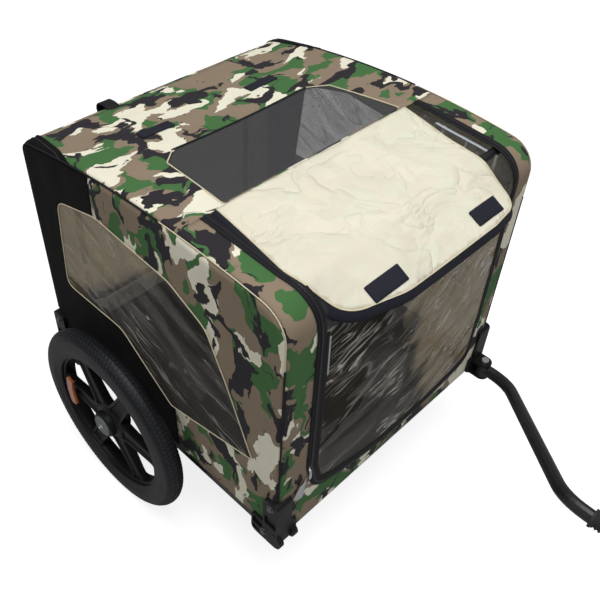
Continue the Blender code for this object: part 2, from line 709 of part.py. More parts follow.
def window_corners():
    """The side window's corners: the lower ones keep their height above the rail, the upper their drop."""
    lower = [(x, RAIL_BOTTOM + height, radius) for x, height, radius in WINDOW_LOWER_CORNERS]
    upper = [(x, ROOF_HEIGHT - drop, radius) for x, drop, radius in WINDOW_UPPER_CORNERS]
    return lower + upper


def make_side_walls():
    """Each side has a black rear panel, a patterned front panel and a clear window between them."""
    for side in (-1, 1):
        label = side_name(side)
        y_low, y_high = sorted((side * (HALF_WIDTH - FABRIC), side * HALF_WIDTH))
        y_out = (y_low - 0.01, y_high + 0.01)
        window_outline = rounded(window_corners())
        hole = prism(label + "_window_hole", window_outline, "y", *y_out)
        window = prism(label + "_side_window", shrunk(window_outline, GAP), "y", y_low, y_high, "clear_sheet")
        set_origin(window, (0, side * HALF_WIDTH, RAIL_TOP))
        notches = [
            prism(f"{label}_{end_name(end)}_notch", connector_outline(end, GAP), "y", *y_out)
            for end in (-1, 1)
        ]
        for name, keep_front in (("_side_panel_black", False), ("_side_panel_camo", True)):
            panel = prism(label + name, side_profile(0, PANEL_BOTTOM), "y", y_low, y_high,
                          "camouflage" if keep_front else "black_fabric")
            shift = GAP / 2 if keep_front else -GAP / 2
            far = CABIN_LENGTH
            seam = [
                (SIDE_SEAM_BOTTOM_X + shift, 0.0),
                (SIDE_SEAM_BOTTOM_X + shift, SIDE_SEAM_BEND_Z - SIDE_SEAM_BEND_RISE / 2),
                (SIDE_SEAM_TOP_X + shift, SIDE_SEAM_BEND_Z + SIDE_SEAM_BEND_RISE / 2),
                (SIDE_SEAM_TOP_X + shift, 1.0),
            ]
            other_x = -far if keep_front else far
            region = prism(label + name + "_rest", seam + [(other_x, 1.0), (other_x, 0.0)], "y", *y_out)
            cut(panel, region, hole, *notches)


def shrunk(outline, amount):
    """An outline drawn in by an amount along the mean of each corner's two edge normals."""
    area = sum(a[0] * b[1] - b[0] * a[1] for a, b in zip(outline, outline[1:] + outline[:1]))
    turn = 1 if area > 0 else -1
    points = []
    count = len(outline)
    for index in range(count):
        here = Vector(outline[index])
        back = (here - Vector(outline[index - 1])).normalized()
        ahead = (Vector(outline[(index + 1) % count]) - here).normalized()
        normal = (Vector((-back.y, back.x)) + Vector((-ahead.y, ahead.x))) * turn
        normal.normalize()
        spread = max(normal.dot(Vector((-ahead.y, ahead.x)) * turn), 0.3)
        points.append(tuple(here + normal * amount / spread))
    return points


# Roof

def mesh_outline():
    """Plan of the roof's mesh window, chamfered at its rear corners."""
    rear, front = MESH_REAR_X, MESH_FRONT_X
    corners = [
        (rear, -MESH_REAR_HALF_WIDTH),
        (front, -MESH_FRONT_HALF_WIDTH),
        (front, MESH_FRONT_HALF_WIDTH),
        (rear, MESH_REAR_HALF_WIDTH),
    ]
    chamfered = [
        (rear + MESH_CHAMFER, -MESH_SIDE_HALF_WIDTH),
        corners[1],
        corners[2],
        (rear + MESH_CHAMFER, MESH_SIDE_HALF_WIDTH),
        corners[3],
        corners[0],
    ]
    return rounded(chamfered, 0.012, 3)


def roof_strip(inset):
    """From the hinge seam back over the roof and the rear top corner's upper half."""
    return roof_line(HINGE_SEAM_X - GAP, REAR_MEET_X, inset)


def make_roof():
    """The roof panel, its mesh window and the two loop strips that hold the flap when it is shut."""
    roof = sheet("roof_panel", roof_strip, 0, FABRIC, -SHEET_HALF_WIDTH, SHEET_HALF_WIDTH, "camouflage")
    low, high = ROOF_HEIGHT - REAR_ROOF_DROP - 0.05, ROOF_HEIGHT + 0.01
    cut(roof, prism("mesh_hole", mesh_outline(), "z", low, high))
    window = sheet("roof_mesh", roof_strip, 0, FABRIC, -SHEET_HALF_WIDTH, SHEET_HALF_WIDTH, "mesh")
    keep_inside(window, prism("mesh_region", shrunk(mesh_outline(), GAP), "z", low, high))
    strip_x = HINGE_SEAM_X - flap_patch_distance() - LOOP_STRIP_SLACK
    rear_x, front_x = strip_x - LOOP_STRIP_WIDTH / 2, strip_x + LOOP_STRIP_WIDTH / 2
    for label, y_low, y_high in patch_places():
        outline = [
            roof_point(rear_x, -GAP),
            roof_point(front_x, -GAP),
            roof_point(front_x, -GAP - HOOK_PATCH_THICKNESS),
            roof_point(rear_x, -GAP - HOOK_PATCH_THICKNESS),
        ]
        prism(label + "_loop_strip", outline, "y", y_low, y_high, "tape")


# Front and rear walls with their zipped doors

def door_outline(y_low, y_high, bottom, top, inset):
    """A door's outline seen from the front, with round lower corners."""
    radius = max(DOOR_CORNER_RADIUS - inset, 0.004)
    return rounded([
        (y_low + inset, bottom + inset, radius),
        (y_high - inset, bottom + inset, radius),
        (y_high - inset, top, 0),
        (y_low + inset, top, 0),
    ], steps=6)


def front_outline(top, inset):
    """The front door's outline up to a height, inside its zip by an inset."""
    return door_outline(DOOR_RIGHT_Y, DOOR_LEFT_Y, DOOR_BOTTOM_Z, top, inset)


def end_notches(end):
    """Cutters that clear the corner connectors from a front or rear wall."""
    cutters = []
    for side in (-1, 1):
        x_low, x_high = sorted((end * (HALF_LENGTH - 0.02), end * (HALF_LENGTH + 0.02)))
        far = side * (HALF_WIDTH + 0.02)
        for label, inner, top in (
            ("foot", FOOT_INNER_Y, CONNECTOR_FOOT_TOP),
            ("upright", UPRIGHT_INNER_Y, CONNECTOR_TOP),
        ):
            low, high = sorted((side * (inner - GAP), far))
            outline = rectangle(low, RAIL_BOTTOM - 0.05, high, top + GAP)
            name = f"{end_name(end)}_{side_name(side)}_{label}_notch"
            cutters.append(prism(name, outline, "x", x_low, x_high))
    return cutters


def make_front():
    """A patterned surround, a zip in a U, a fixed clear upper window and a clear door that swings up."""
    def run(inset):
        return front_run(inset, END_SHEET_BOTTOM, HINGE_SEAM_X + GAP)

    def above_hinge(inset):
        return front_run(inset, DOOR_HINGE_Z + GAP, HINGE_SEAM_X + GAP)

    span = (HINGE_SEAM_X - 0.01, HALF_LENGTH + 0.02)
    top = ROOF_HEIGHT + 0.02
    names = ("zip_hole", "zip_outer", "zip_inner", "window_region")
    insets = (0.0, GAP, ZIP_WIDTH, ZIP_WIDTH + GAP)
    regions = {
        name: prism("front_" + name, front_outline(top, inset), "x", *span)
        for name, inset in zip(names, insets)
    }
    surround = sheet("front_surround", run, 0, FABRIC, -SHEET_HALF_WIDTH, SHEET_HALF_WIDTH, "camouflage")
    cut(surround, regions["zip_hole"], *end_notches(1))
    zip_tape = sheet("front_zip", run, 0, FABRIC, -SHEET_HALF_WIDTH, SHEET_HALF_WIDTH, "tape")
    cut(keep_inside(zip_tape, regions["zip_outer"]), regions["zip_inner"])
    inner_low = DOOR_RIGHT_Y + ZIP_WIDTH + GAP
    inner_high = DOOR_LEFT_Y - ZIP_WIDTH - GAP
    sheet("front_window", above_hinge, 0, FABRIC, inner_low, inner_high, "clear_sheet")
    outline = front_outline(DOOR_HINGE_Z - GAP, ZIP_WIDTH + GAP)
    door = prism("front_door", outline, "x", HALF_LENGTH - FABRIC, HALF_LENGTH, "clear_sheet")
    set_origin(door, (HALF_LENGTH, (DOOR_RIGHT_Y + DOOR_LEFT_Y) / 2, DOOR_HINGE_Z))


def make_rear():
    """A black surround with a zipped, patterned door that swings up."""
    def run(inset):
        arc = list(reversed(corner_arc(-1, inset)))
        return arc + [(-HALF_LENGTH + inset, END_SHEET_BOTTOM)]

    span = (-HALF_LENGTH - 0.02, -HALF_LENGTH + REAR_TOP_RADIUS + 0.02)
    half = REAR_DOOR_HALF_WIDTH
    top = REAR_DOOR_HINGE_Z
    surround = sheet("rear_surround", run, 0, FABRIC, -SHEET_HALF_WIDTH, SHEET_HALF_WIDTH, "camouflage")
    hole = door_outline(-half, half, REAR_DOOR_BOTTOM_Z, top, 0)
    cut(surround, prism("rear_zip_hole", hole, "x", *span), *end_notches(-1))
    low_x, high_x = -HALF_LENGTH, -HALF_LENGTH + FABRIC
    tape_outline = door_outline(-half, half, REAR_DOOR_BOTTOM_Z, top - GAP, GAP)
    zip_tape = prism("rear_zip", tape_outline, "x", low_x, high_x, "tape")
    inner = door_outline(-half, half, REAR_DOOR_BOTTOM_Z, top + 0.02, ZIP_WIDTH)
    cut(zip_tape, prism("rear_zip_inner", inner, "x", *span))
    outline = door_outline(-half, half, REAR_DOOR_BOTTOM_Z, top - GAP, ZIP_WIDTH + GAP)
    door = prism("rear_door", outline, "x", low_x, high_x, "camouflage")
    set_origin(door, (-HALF_LENGTH, 0, REAR_DOOR_HINGE_Z))


# Flap

def flap_line(offset):
    """The flap's line from its free end back over the front top corner and the roof to the hinge seam."""
    centre_x, centre_z = FRONT_ARC_CENTRE
    reach = FRONT_TOP_RADIUS + offset
    droop = math.radians(FLAP_DROOP)
    lean = roof_lean(FRONT_MEET_X)
    arc = []
    for step in range(ARC_STEPS + 1):
        angle = droop + (lean - droop) * step / ARC_STEPS
        arc.append((centre_x + reach * math.sin(angle), centre_z + reach * math.cos(angle)))
    free_end = (arc[0][0] + FLAP_PEAK * math.cos(droop), arc[0][1] - FLAP_PEAK * math.sin(droop))
    return [free_end] + arc + roof_line(FRONT_MEET_X, HINGE_SEAM_X + 2 * GAP, -offset)[1:]


def flap_bend():
    """The middle of the flap's bend on its outer face, and the direction square to the cloth there."""
    centre_x, centre_z = FRONT_ARC_CENTRE
    middle = (math.radians(FLAP_DROOP) + roof_lean(FRONT_MEET_X)) / 2
    outward = Vector((math.sin(middle), 0, math.cos(middle)))
    return Vector((centre_x, 0, centre_z)) + outward * (FRONT_TOP_RADIUS + GAP + FABRIC), outward


def flap_length():
    """Length of the flap from the hinge seam to its free end, along the cloth."""
    line = flap_line(GAP)
    return sum((Vector(a) - Vector(b)).length for a, b in zip(line, line[1:]))


def flap_patch_distance():
    """Distance from the hinge seam to the middle of the hook patches, along the cloth."""
    return flap_length() - HOOK_PATCH_FROM_EDGE - HOOK_PATCH_WIDTH / 2


def patch_places():
    """Labels and side limits of the two hook patches and of the loop strips that they meet."""
    right = FLAP_RIGHT_Y + HOOK_PATCH_FROM_SIDE
    left = FLAP_LEFT_Y - HOOK_PATCH_FROM_SIDE
    return [
        ("right", right, right + HOOK_PATCH_LENGTH),
        ("left", left - HOOK_PATCH_LENGTH, left),
    ]


def make_flap():
    """The flap is one cloth. It is built as two pieces that meet in the middle of its bend."""
    outer_offset = GAP + FABRIC
    bend, outward = flap_bend()
    along = Vector((-outward.z, 0, outward.x))
    free_x = flap_line(outer_offset)[0][0]
    outline = rounded([
        (0, FLAP_RIGHT_Y, 0),
        (free_x, FLAP_RIGHT_Y, FLAP_CORNER_RADIUS),
        (free_x, FLAP_LEFT_Y, FLAP_CORNER_RADIUS),
        (0, FLAP_LEFT_Y, 0),
    ], steps=8)
    region = prism("flap_outline", outline, "z", RAIL_TOP, ROOF_HEIGHT + 0.05)
    hinge = (HINGE_SEAM_X, 0, roof_z(HINGE_SEAM_X) + outer_offset)
    far = CABIN_LENGTH
    for name, sign, pivot in (("flap_rear", 1, hinge), ("flap_front", -1, tuple(bend))):
        piece = sheet(name, lambda inset: flap_line(-inset), -outer_offset, FABRIC,
                      FLAP_RIGHT_Y - 0.01, FLAP_LEFT_Y + 0.01, "cream_fabric")
        keep_inside(piece, region)
        edge = bend + along * sign * GAP / 2
        beyond = edge - along * sign * far
        box = [edge - outward * far, edge + outward * far, beyond + outward * far, beyond - outward * far]
        cut(piece, prism(name + "_rest", [(p.x, p.z) for p in box], "y", -HALF_WIDTH, HALF_WIDTH))
        set_origin(piece, pivot)
    make_hook_patches(outer_offset, bend)


def make_hook_patches(outer_offset, bend):
    """Two hook patches on the upper face of the flap's free end."""
    droop = math.radians(FLAP_DROOP)
    end = Vector(flap_line(outer_offset)[0])
    up_slope = Vector((-math.cos(droop), math.sin(droop)))
    outward = Vector((math.sin(droop), math.cos(droop)))
    near = end + up_slope * HOOK_PATCH_FROM_EDGE + outward * GAP
    far = near + up_slope * HOOK_PATCH_WIDTH
    thick = outward * HOOK_PATCH_THICKNESS
    outline = [tuple(point) for point in (near, near + thick, far + thick, far)]
    for label, y_low, y_high in patch_places():
        patch = prism(label + "_hook_patch", outline, "y", y_low, y_high, "tape")
        set_origin(patch, tuple(bend))


# Zip sliders and tab

def make_sliders():
    """One slider with a pull on each upright leg of the front zip."""
    back = HALF_LENGTH + GAP
    middle = ZIP_WIDTH / 2
    for label, centre_y in (("right", DOOR_RIGHT_Y + middle), ("left", DOOR_LEFT_Y - middle)):
        half = SLIDER_WIDTH / 2
        outline = rounded([
            (centre_y - half * 0.7, SLIDER_Z, 0.002),
            (centre_y + half * 0.7, SLIDER_Z, 0.002),
            (centre_y + half, SLIDER_Z + SLIDER_LENGTH, 0.003),
            (centre_y - half, SLIDER_Z + SLIDER_LENGTH, 0.003),
        ], steps=3)
        slider = prism(label + "_door_slider", outline, "x", back, back + SLIDER_THICKNESS, "bright_steel")
        pull_half = SLIDER_PULL_WIDTH / 2
        pull = rounded(
            rectangle(centre_y - pull_half, SLIDER_Z + 0.006 - SLIDER_PULL_LENGTH,
                      centre_y + pull_half, SLIDER_Z + 0.006), 0.0025, 3)
        front = back + SLIDER_THICKNESS
        tab = prism(label + "_slider_pull", pull, "x", front - 0.0015, front + 0.001)
        join(slider, tab)
        set_origin(slider, (back, centre_y, SLIDER_Z))


def make_reflective_tab():
    """A slanted reflective tab sewn on the front's right pillar."""
    turn = math.radians(TAB_TILT)
    half_length, half_width = TAB_LENGTH / 2, TAB_WIDTH / 2
    corners = rounded(rectangle(-half_width, -half_length, half_width, half_length), 0.002, 2)
    outline = [
        (TAB_CENTRE_Y + u * math.cos(turn) + v * math.sin(turn) * TAB_SLANT, TAB_CENTRE_Z + v * math.cos(turn))
        for u, v in corners
    ]
    face = HALF_LENGTH + GAP
    prism("reflective_tab", outline, "x", face, face + 0.001, "silver_tape")


# Wheels

def tyre_profile():
    """Section of the tyre: narrow between the rim's flanges, full at the side and round at the tread."""
    bead = RIM_WIDTH / 2 - RIM_FLANGE - GAP
    seat = RIM_SEAT_RADIUS + GAP
    shoulder = RIM_SEAT_RADIUS + RIM_FLANGE_RISE + 2 * GAP
    half = TYRE_WIDTH / 2
    depth = WHEEL_RADIUS - shoulder
    upper = [
        (seat, bead),
        (shoulder - GAP, bead),
        (shoulder + 0.001, min(half, RIM_WIDTH / 2)),
        (shoulder + depth * 0.36, half),
        (shoulder + depth * 0.66, half * 0.90),
        (shoulder + depth * 0.88, half * 0.62),
        (shoulder + depth * 0.985, half * 0.26),
    ]
    lower = [(radius, -along) for radius, along in reversed(upper)]
    return upper + lower


def wheel_profile():
    """Section of the moulded wheel: hub barrel, tapering spoke disc and flanged rim."""
    hub = HUB_WIDTH / 2
    near = SPOKE_DEPTH_AT_HUB / 2
    far = SPOKE_DEPTH_AT_RIM / 2
    rim = RIM_WIDTH / 2
    inner = RIM_SEAT_RADIUS - RIM_DEPTH
    flange = RIM_SEAT_RADIUS + RIM_FLANGE_RISE
    upper = [
        (BEARING_RADIUS + GAP, hub),
        (HUB_RADIUS - 0.002, hub),
        (HUB_RADIUS, hub - 0.002),
        (HUB_RADIUS + 0.002, near),
        (inner - 0.003, far),
        (inner, rim),
        (flange, rim),
        (flange, rim - RIM_FLANGE),
        (RIM_SEAT_RADIUS, rim - RIM_FLANGE),
    ]
    lower = [(radius, -along) for radius, along in reversed(upper)]
    return upper + lower


def polar(centre, radius, angle, sideways=0.0):
    """A point in the wheel's plane from a radius along a direction and a step square to it."""
    return (
        centre[0] + radius * math.cos(angle) - sideways * math.sin(angle),
        centre[1] + radius * math.sin(angle) + sideways * math.cos(angle),
    )


def opening_outline(centre, middle):
    """The rounded opening between two spokes, centred on an angle."""
    half_pitch = math.pi / SPOKE_COUNT
    outer = RIM_SEAT_RADIUS - RIM_DEPTH - 0.003
    near, far = SPOKE_WIDTH_AT_HUB / 2, SPOKE_WIDTH_AT_RIM / 2
    first, last = middle - half_pitch, middle + half_pitch
    spread = half_pitch - math.asin(far / outer)
    arc = [polar(centre, outer, middle - spread + 2 * spread * step / 6) for step in range(7)]
    inner_first = polar(centre, math.sqrt(OPENING_INNER_RADIUS ** 2 - near ** 2), first, near)
    inner_last = polar(centre, math.sqrt(OPENING_INNER_RADIUS ** 2 - near ** 2), last, -near)
    corners = [(*inner_first, OPENING_CORNER_RADIUS), (*arc[0], OPENING_CORNER_RADIUS)]
    corners += [(*point, 0) for point in arc[1:-1]]
    corners += [(*arc[-1], OPENING_CORNER_RADIUS), (*inner_last, OPENING_CORNER_RADIUS)]
    return rounded(corners, steps=4)


def spoke_pocket(centre, angle):
    """The long hollow in a spoke's face that leaves a rib along each edge."""
    rib = 0.0065
    start = HUB_RADIUS + 0.013
    stop = RIM_SEAT_RADIUS - RIM_DEPTH - 0.008
    near, far = SPOKE_WIDTH_AT_HUB / 2 - rib, SPOKE_WIDTH_AT_RIM / 2 - rib
    corners = [
        polar(centre, start, angle, -near), polar(centre, stop, angle, -far),
        polar(centre, stop, angle, far), polar(centre, start, angle, near),
    ]
    return rounded(corners, 0.005, 3)


def make_wheel(side):
    """One wheel with its tyre, bearing sleeve, hub cap and reflector, all about the axle's line."""
    label = side_name(side)
    centre = (WHEEL_X, side * WHEEL_Y, AXLE_Z)
    flat = (WHEEL_X, AXLE_Z)
    tyre = revolved(label + "_tyre", tyre_profile(), "y", centre, WHEEL_STEPS, "rubber")
    wheel = revolved(label + "_wheel", wheel_profile(), "y", centre, WHEEL_STEPS, "black_plastic")
    depth = SPOKE_DEPTH_AT_HUB
    pitch = 2 * math.pi / SPOKE_COUNT
    for index in range(SPOKE_COUNT):
        opening_angle = math.pi / 2 + index * pitch
        spoke_angle = opening_angle + pitch / 2
        opening = opening_outline(flat, opening_angle)
        cut(wheel, prism(f"{label}_opening_{index + 1}", opening, "y",
                         side * WHEEL_Y - depth, side * WHEEL_Y + depth))
        pocket = spoke_pocket(flat, spoke_angle)
        for face in (-1, 1):
            low, high = sorted((face * SPOKE_WEB / 2, face * depth))
            cut(wheel, prism(f"{label}_pocket_{index + 1}_{face}", pocket, "y",
                             side * WHEEL_Y + low, side * WHEEL_Y + high))
    hub = HUB_WIDTH / 2
    shaft = AXLE_RADIUS + GAP
    sleeve = [
        (shaft, -hub - BEARING_FLANGE), (BEARING_FLANGE_RADIUS, -hub - BEARING_FLANGE),
        (BEARING_FLANGE_RADIUS, -hub - GAP), (BEARING_RADIUS, -hub - GAP),
        (BEARING_RADIUS, hub), (shaft, hub),
    ]
    sleeve = [(radius, side * along) for radius, along in sleeve]
    bearing = revolved(label + "_hub_bearing", sleeve, "y", centre, 20, "bright_steel")
    cap_low, cap_high = hub + GAP, hub + HUB_CAP_THICKNESS
    cap = [
        (AXLE_RADIUS + RUNNING_GAP, cap_low), (HUB_CAP_RADIUS, cap_low),
        (HUB_CAP_RADIUS, cap_high - 0.002), (HUB_CAP_RADIUS - 0.002, cap_high - 0.0005),
        (AXLE_RADIUS + RUNNING_GAP, cap_high),
    ]
    cap = [(radius, side * along) for radius, along in cap]
    hub_cap = revolved(label + "_hub_cap", cap, "y", centre, 24, "grey_plastic")
    reflector = make_reflector(label, side, flat)
    for piece in (tyre, wheel, bearing, hub_cap, reflector):
        set_origin(piece, centre)


def make_reflector(label, side, flat):
    """An amber reflector across the rear spoke, bent round the axle."""
    low = REFLECTOR_RADIUS - REFLECTOR_WIDTH / 2
    high = REFLECTOR_RADIUS + REFLECTOR_WIDTH / 2
    sweep = REFLECTOR_LENGTH / REFLECTOR_RADIUS
    angles = [math.pi - sweep / 2 + sweep * step / 6 for step in range(7)]
    outline = [polar(flat, high, angle) for angle in angles]
    outline += [polar(flat, low, angle) for angle in reversed(angles)]
    near = spoke_face(low) + GAP
    y_low, y_high = sorted((side * (WHEEL_Y + near), side * (WHEEL_Y + near + REFLECTOR_THICKNESS)))
    return prism(label + "_reflector", rounded(outline, 0.004, 3), "y", y_low, y_high, "amber")


def spoke_face(radius):
    """Distance of a spoke's face from the wheel's middle plane."""
    start, stop = HUB_RADIUS + 0.002, RIM_SEAT_RADIUS - RIM_DEPTH - 0.003
    share = (radius - start) / (stop - start)
    return (SPOKE_DEPTH_AT_HUB + (SPOKE_DEPTH_AT_RIM - SPOKE_DEPTH_AT_HUB) * share) / 2


# Axles

def make_axle(side):
    """A receiver on the rail, a quick-release shaft plugged into it, and the shaft's push button."""
    label = side_name(side)
    plate_low = RAIL_OUTER_Y + GAP
    plate_high = plate_low + RECEIVER_PLATE_THICKNESS
    half = RECEIVER_PLATE_LENGTH / 2
    outline = rounded([
        (WHEEL_X - half, RAIL_BOTTOM, 0.006),
        (WHEEL_X - RECEIVER_BOSS_RADIUS, RAIL_BOTTOM - RECEIVER_DROP, 0.008),
        (WHEEL_X + RECEIVER_BOSS_RADIUS, RAIL_BOTTOM - RECEIVER_DROP, 0.008),
        (WHEEL_X + half, RAIL_BOTTOM, 0.006),
        (WHEEL_X + half, RAIL_TOP - GAP, 0.004),
        (WHEEL_X - half, RAIL_TOP - GAP, 0.004),
    ], steps=3)
    receiver = prism(label + "_axle_receiver", outline, "y",
                     *sorted((side * plate_low, side * plate_high)), "black_plastic")
    boss_low = max(plate_high - 0.001, HALF_WIDTH + GAP)
    boss = rod(label + "_receiver_boss", "y", (WHEEL_X, AXLE_Z), RECEIVER_BOSS_RADIUS,
               *sorted((side * boss_low, side * RECEIVER_BOSS_Y)), steps=24)
    bolts = [
        rod(f"{label}_receiver_bolt_{index + 1}", "y",
            (WHEEL_X + place * half * 0.78, RAIL_Z), BOLT_HEAD_RADIUS,
            *sorted((side * (plate_high - 0.001), side * (plate_high + BOLT_HEAD_HEIGHT))), steps=6)
        for index, place in enumerate((-1, 1))
    ]
    join(receiver, boss, *bolts)
    bore = rod(label + "_receiver_bore", "y", (WHEEL_X, AXLE_Z), AXLE_RADIUS + GAP,
               *sorted((side * RAIL_INNER_Y, side * (RECEIVER_BOSS_Y + 0.01))))
    cut(receiver, bore)
    inner_end = RAIL_INNER_Y - 0.004
    shaft = rod(label + "_axle", "y", (WHEEL_X, AXLE_Z), AXLE_RADIUS,
                *sorted((side * inner_end, side * AXLE_END_Y)), "bright_steel")
    well_end = AXLE_END_Y - BUTTON_DEPTH - BUTTON_TRAVEL - GAP
    well = rod(label + "_axle_well", "y", (WHEEL_X, AXLE_Z), BUTTON_RADIUS + GAP,
               *sorted((side * well_end, side * (AXLE_END_Y + 0.01))))
    cut(shaft, well)
    button_ends = sorted((side * (AXLE_END_Y - BUTTON_DEPTH), side * (AXLE_END_Y + BUTTON_PROUD)))
    button = rod(label + "_release_button", "y", (WHEEL_X, AXLE_Z), BUTTON_RADIUS, *button_ends, "bright_steel")
    set_origin(button, (WHEEL_X, side * (AXLE_END_Y + BUTTON_PROUD), AXLE_Z))


# Tow arm and hitch

def arm_route():
    """Middle line of the tow arm: straight out of the ears, a long rise inwards, and straight at its end."""
    start = Vector((ARM_PIVOT_X + ARM_BOSS_RADIUS * 0.5, ARM_PIVOT_Y, ARM_Z))
    first = Vector((ARM_PIVOT_X + ARM_STRAIGHT, ARM_PIVOT_Y, ARM_Z))
    last = Vector((ARM_END_X - ARM_END_STRAIGHT, ARM_END_Y, ARM_END_Z))
    end = Vector((ARM_END_X, ARM_END_Y, ARM_END_Z))
    slope = (last - first).normalized()
    points = [start]
    for corner, before, after in ((first, Vector((1, 0, 0)), slope), (last, slope, Vector((1, 0, 0)))):
        reach = ARM_BEND_LENGTH / 2
        a, b = corner - before * reach, corner + after * reach
        for step in range(9):
            t = step / 8
            points.append(a * (1 - t) ** 2 + corner * 2 * t * (1 - t) + b * t ** 2)
    points.append(end)
    return points


def make_tow_arm():
    """A bent tube with an upright boss at its rear end, and the pull pin that holds it in the ears."""
    arm = tube_along("tow_arm_tube", arm_route(), ARM_RADIUS, "black_steel")
    boss_half = EAR_GAP / 2 - GAP
    body = rod("tow_arm", "z", (ARM_PIVOT_X, ARM_PIVOT_Y), ARM_BOSS_RADIUS - GAP,
               ARM_Z - boss_half, ARM_Z + boss_half, "black_steel", steps=24)
    tube_mesh = bpy.data.meshes.new_from_object(arm.evaluated_get(bpy.context.evaluated_depsgraph_get()))
    tube = add_object("tow_arm_tube_mesh", tube_mesh)
    bpy.data.objects.remove(arm, do_unlink=True)
    join(body, tube)
    hole = rod("tow_arm_hole", "z", (ARM_PIVOT_X, ARM_PIVOT_Y), ARM_PIN_RADIUS + GAP, 0, 2 * ARM_Z)
    cut(body, hole)
    set_origin(body, (ARM_PIVOT_X, ARM_PIVOT_Y, ARM_Z))
    ear_top = ARM_Z + EAR_GAP / 2 + EAR_THICKNESS + GAP
    ear_bottom = ARM_Z - EAR_GAP / 2 - EAR_THICKNESS
    pin = [
        (0, ear_bottom - 0.004), (ARM_PIN_RADIUS - 0.001, ear_bottom - 0.004),
        (ARM_PIN_RADIUS, ear_bottom - 0.003), (ARM_PIN_RADIUS, ear_top), (ARM_PIN_HEAD_RADIUS, ear_top),
        (ARM_PIN_HEAD_RADIUS, ear_top + ARM_PIN_HEAD_HEIGHT - 0.001),
        (ARM_PIN_HEAD_RADIUS - 0.001, ear_top + ARM_PIN_HEAD_HEIGHT), (0, ear_top + ARM_PIN_HEAD_HEIGHT),
    ]
    item = turned_pin("tow_arm_pin", pin, (ARM_PIVOT_X, ARM_PIVOT_Y))
    set_origin(item, (ARM_PIVOT_X, ARM_PIVOT_Y, ear_top))


def turned_pin(name, profile, place):
    """An upright pin turned from a profile that starts and ends on its axis."""
    shape = bmesh.new()
    corners = [shape.verts.new((radius, 0, z)) for radius, z in profile]
    edges = [shape.edges.new(pair) for pair in zip(corners, corners[1:])]
    bmesh.ops.spin(shape, geom=corners + edges, cent=(0, 0, 0), axis=(0, 0, 1),
                   angle=2 * math.pi, steps=16, use_merge=True)
    bmesh.ops.remove_doubles(shape, verts=shape.verts, dist=0.00001)
    bmesh.ops.translate(shape, verts=shape.verts, vec=(place[0], place[1], 0))
    return mesh_object(name, shape, "bright_steel")


def make_hitch():
    """The rubber coupler flexes, its fork carries the plate on a pin, and the plate bolts to the bicycle."""
    centre = (0, ARM_END_Y, ARM_END_Z)
    start = ARM_END_X + GAP
    length = COUPLER_LENGTH - GAP
    radii = [1.0, 1.0, 0.0, COUPLER_RIB_SHARE, 0.0, COUPLER_RIB_SHARE, 0.0, 1.0, 1.0]
    ribs = [
        (COUPLER_WAIST_RADIUS + (COUPLER_RADIUS - COUPLER_WAIST_RADIUS) * share, start + length * index / 8)
        for index, share in enumerate(radii)
    ]
    profile = [(0.002, start)] + ribs + [(0.002, start + length)]
    coupler = revolved("hitch_coupler", profile, "x", centre, 24, "rubber")
    plug = rod("hitch_coupler_core", "x", (ARM_END_Y, ARM_END_Z), 0.004, start, start + length)
    join(coupler, plug)
    fork = make_fork()
    middle = (ARM_END_X + COUPLER_LENGTH / 2, ARM_END_Y, ARM_END_Z)
    for piece in (coupler, fork):
        set_origin(piece, middle)
    make_hitch_plate()
    half = FORK_GAP / 2 + FORK_THICKNESS
    top = ARM_END_Z + half + GAP
    bottom = ARM_END_Z - half - 0.006
    profile = [
        (0, bottom), (HITCH_PIN_RADIUS - 0.0008, bottom), (HITCH_PIN_RADIUS, bottom + 0.0015),
        (HITCH_PIN_RADIUS, top), (HITCH_PIN_RADIUS * 2, top), (HITCH_PIN_RADIUS * 2, top + 0.004),
        (0, top + 0.004),
    ]
    pin = turned_pin("hitch_pin", profile, (FORK_PIN_X, ARM_END_Y))
    set_origin(pin, (FORK_PIN_X, ARM_END_Y, top))


def make_fork():
    """A steel fork bent from flat bar: a back plate against the coupler and two prongs."""
    back = COUPLER_END_X + GAP
    half_gap = FORK_GAP / 2
    half_width = FORK_WIDTH / 2
    outer = half_gap + FORK_THICKNESS
    tip, web = FORK_PIN_X + half_width, back + FORK_THICKNESS
    profile = rounded([
        (back, ARM_END_Z - outer, 0.004), (tip, ARM_END_Z - outer, 0),
        (tip, ARM_END_Z - half_gap, 0), (web, ARM_END_Z - half_gap, 0.002),
        (web, ARM_END_Z + half_gap, 0.002), (tip, ARM_END_Z + half_gap, 0),
        (tip, ARM_END_Z + outer, 0), (back, ARM_END_Z + outer, 0.004),
    ], steps=3)
    fork = prism("hitch_fork", profile, "y", ARM_END_Y - half_width, ARM_END_Y + half_width, "bright_steel")
    nose = circle(FORK_PIN_X, ARM_END_Y, half_width, 24, -math.pi / 2)[:13]
    plan = nose + [(back - 0.005, ARM_END_Y + half_width), (back - 0.005, ARM_END_Y - half_width)]
    keep_inside(fork, prism("hitch_fork_plan", plan, "z", ARM_END_Z - 2 * outer, ARM_END_Z + 2 * outer))
    hole = rod("hitch_fork_hole", "z", (FORK_PIN_X, ARM_END_Y), HITCH_PIN_RADIUS + GAP,
               ARM_END_Z - 2 * outer, ARM_END_Z + 2 * outer)
    return cut(fork, hole)


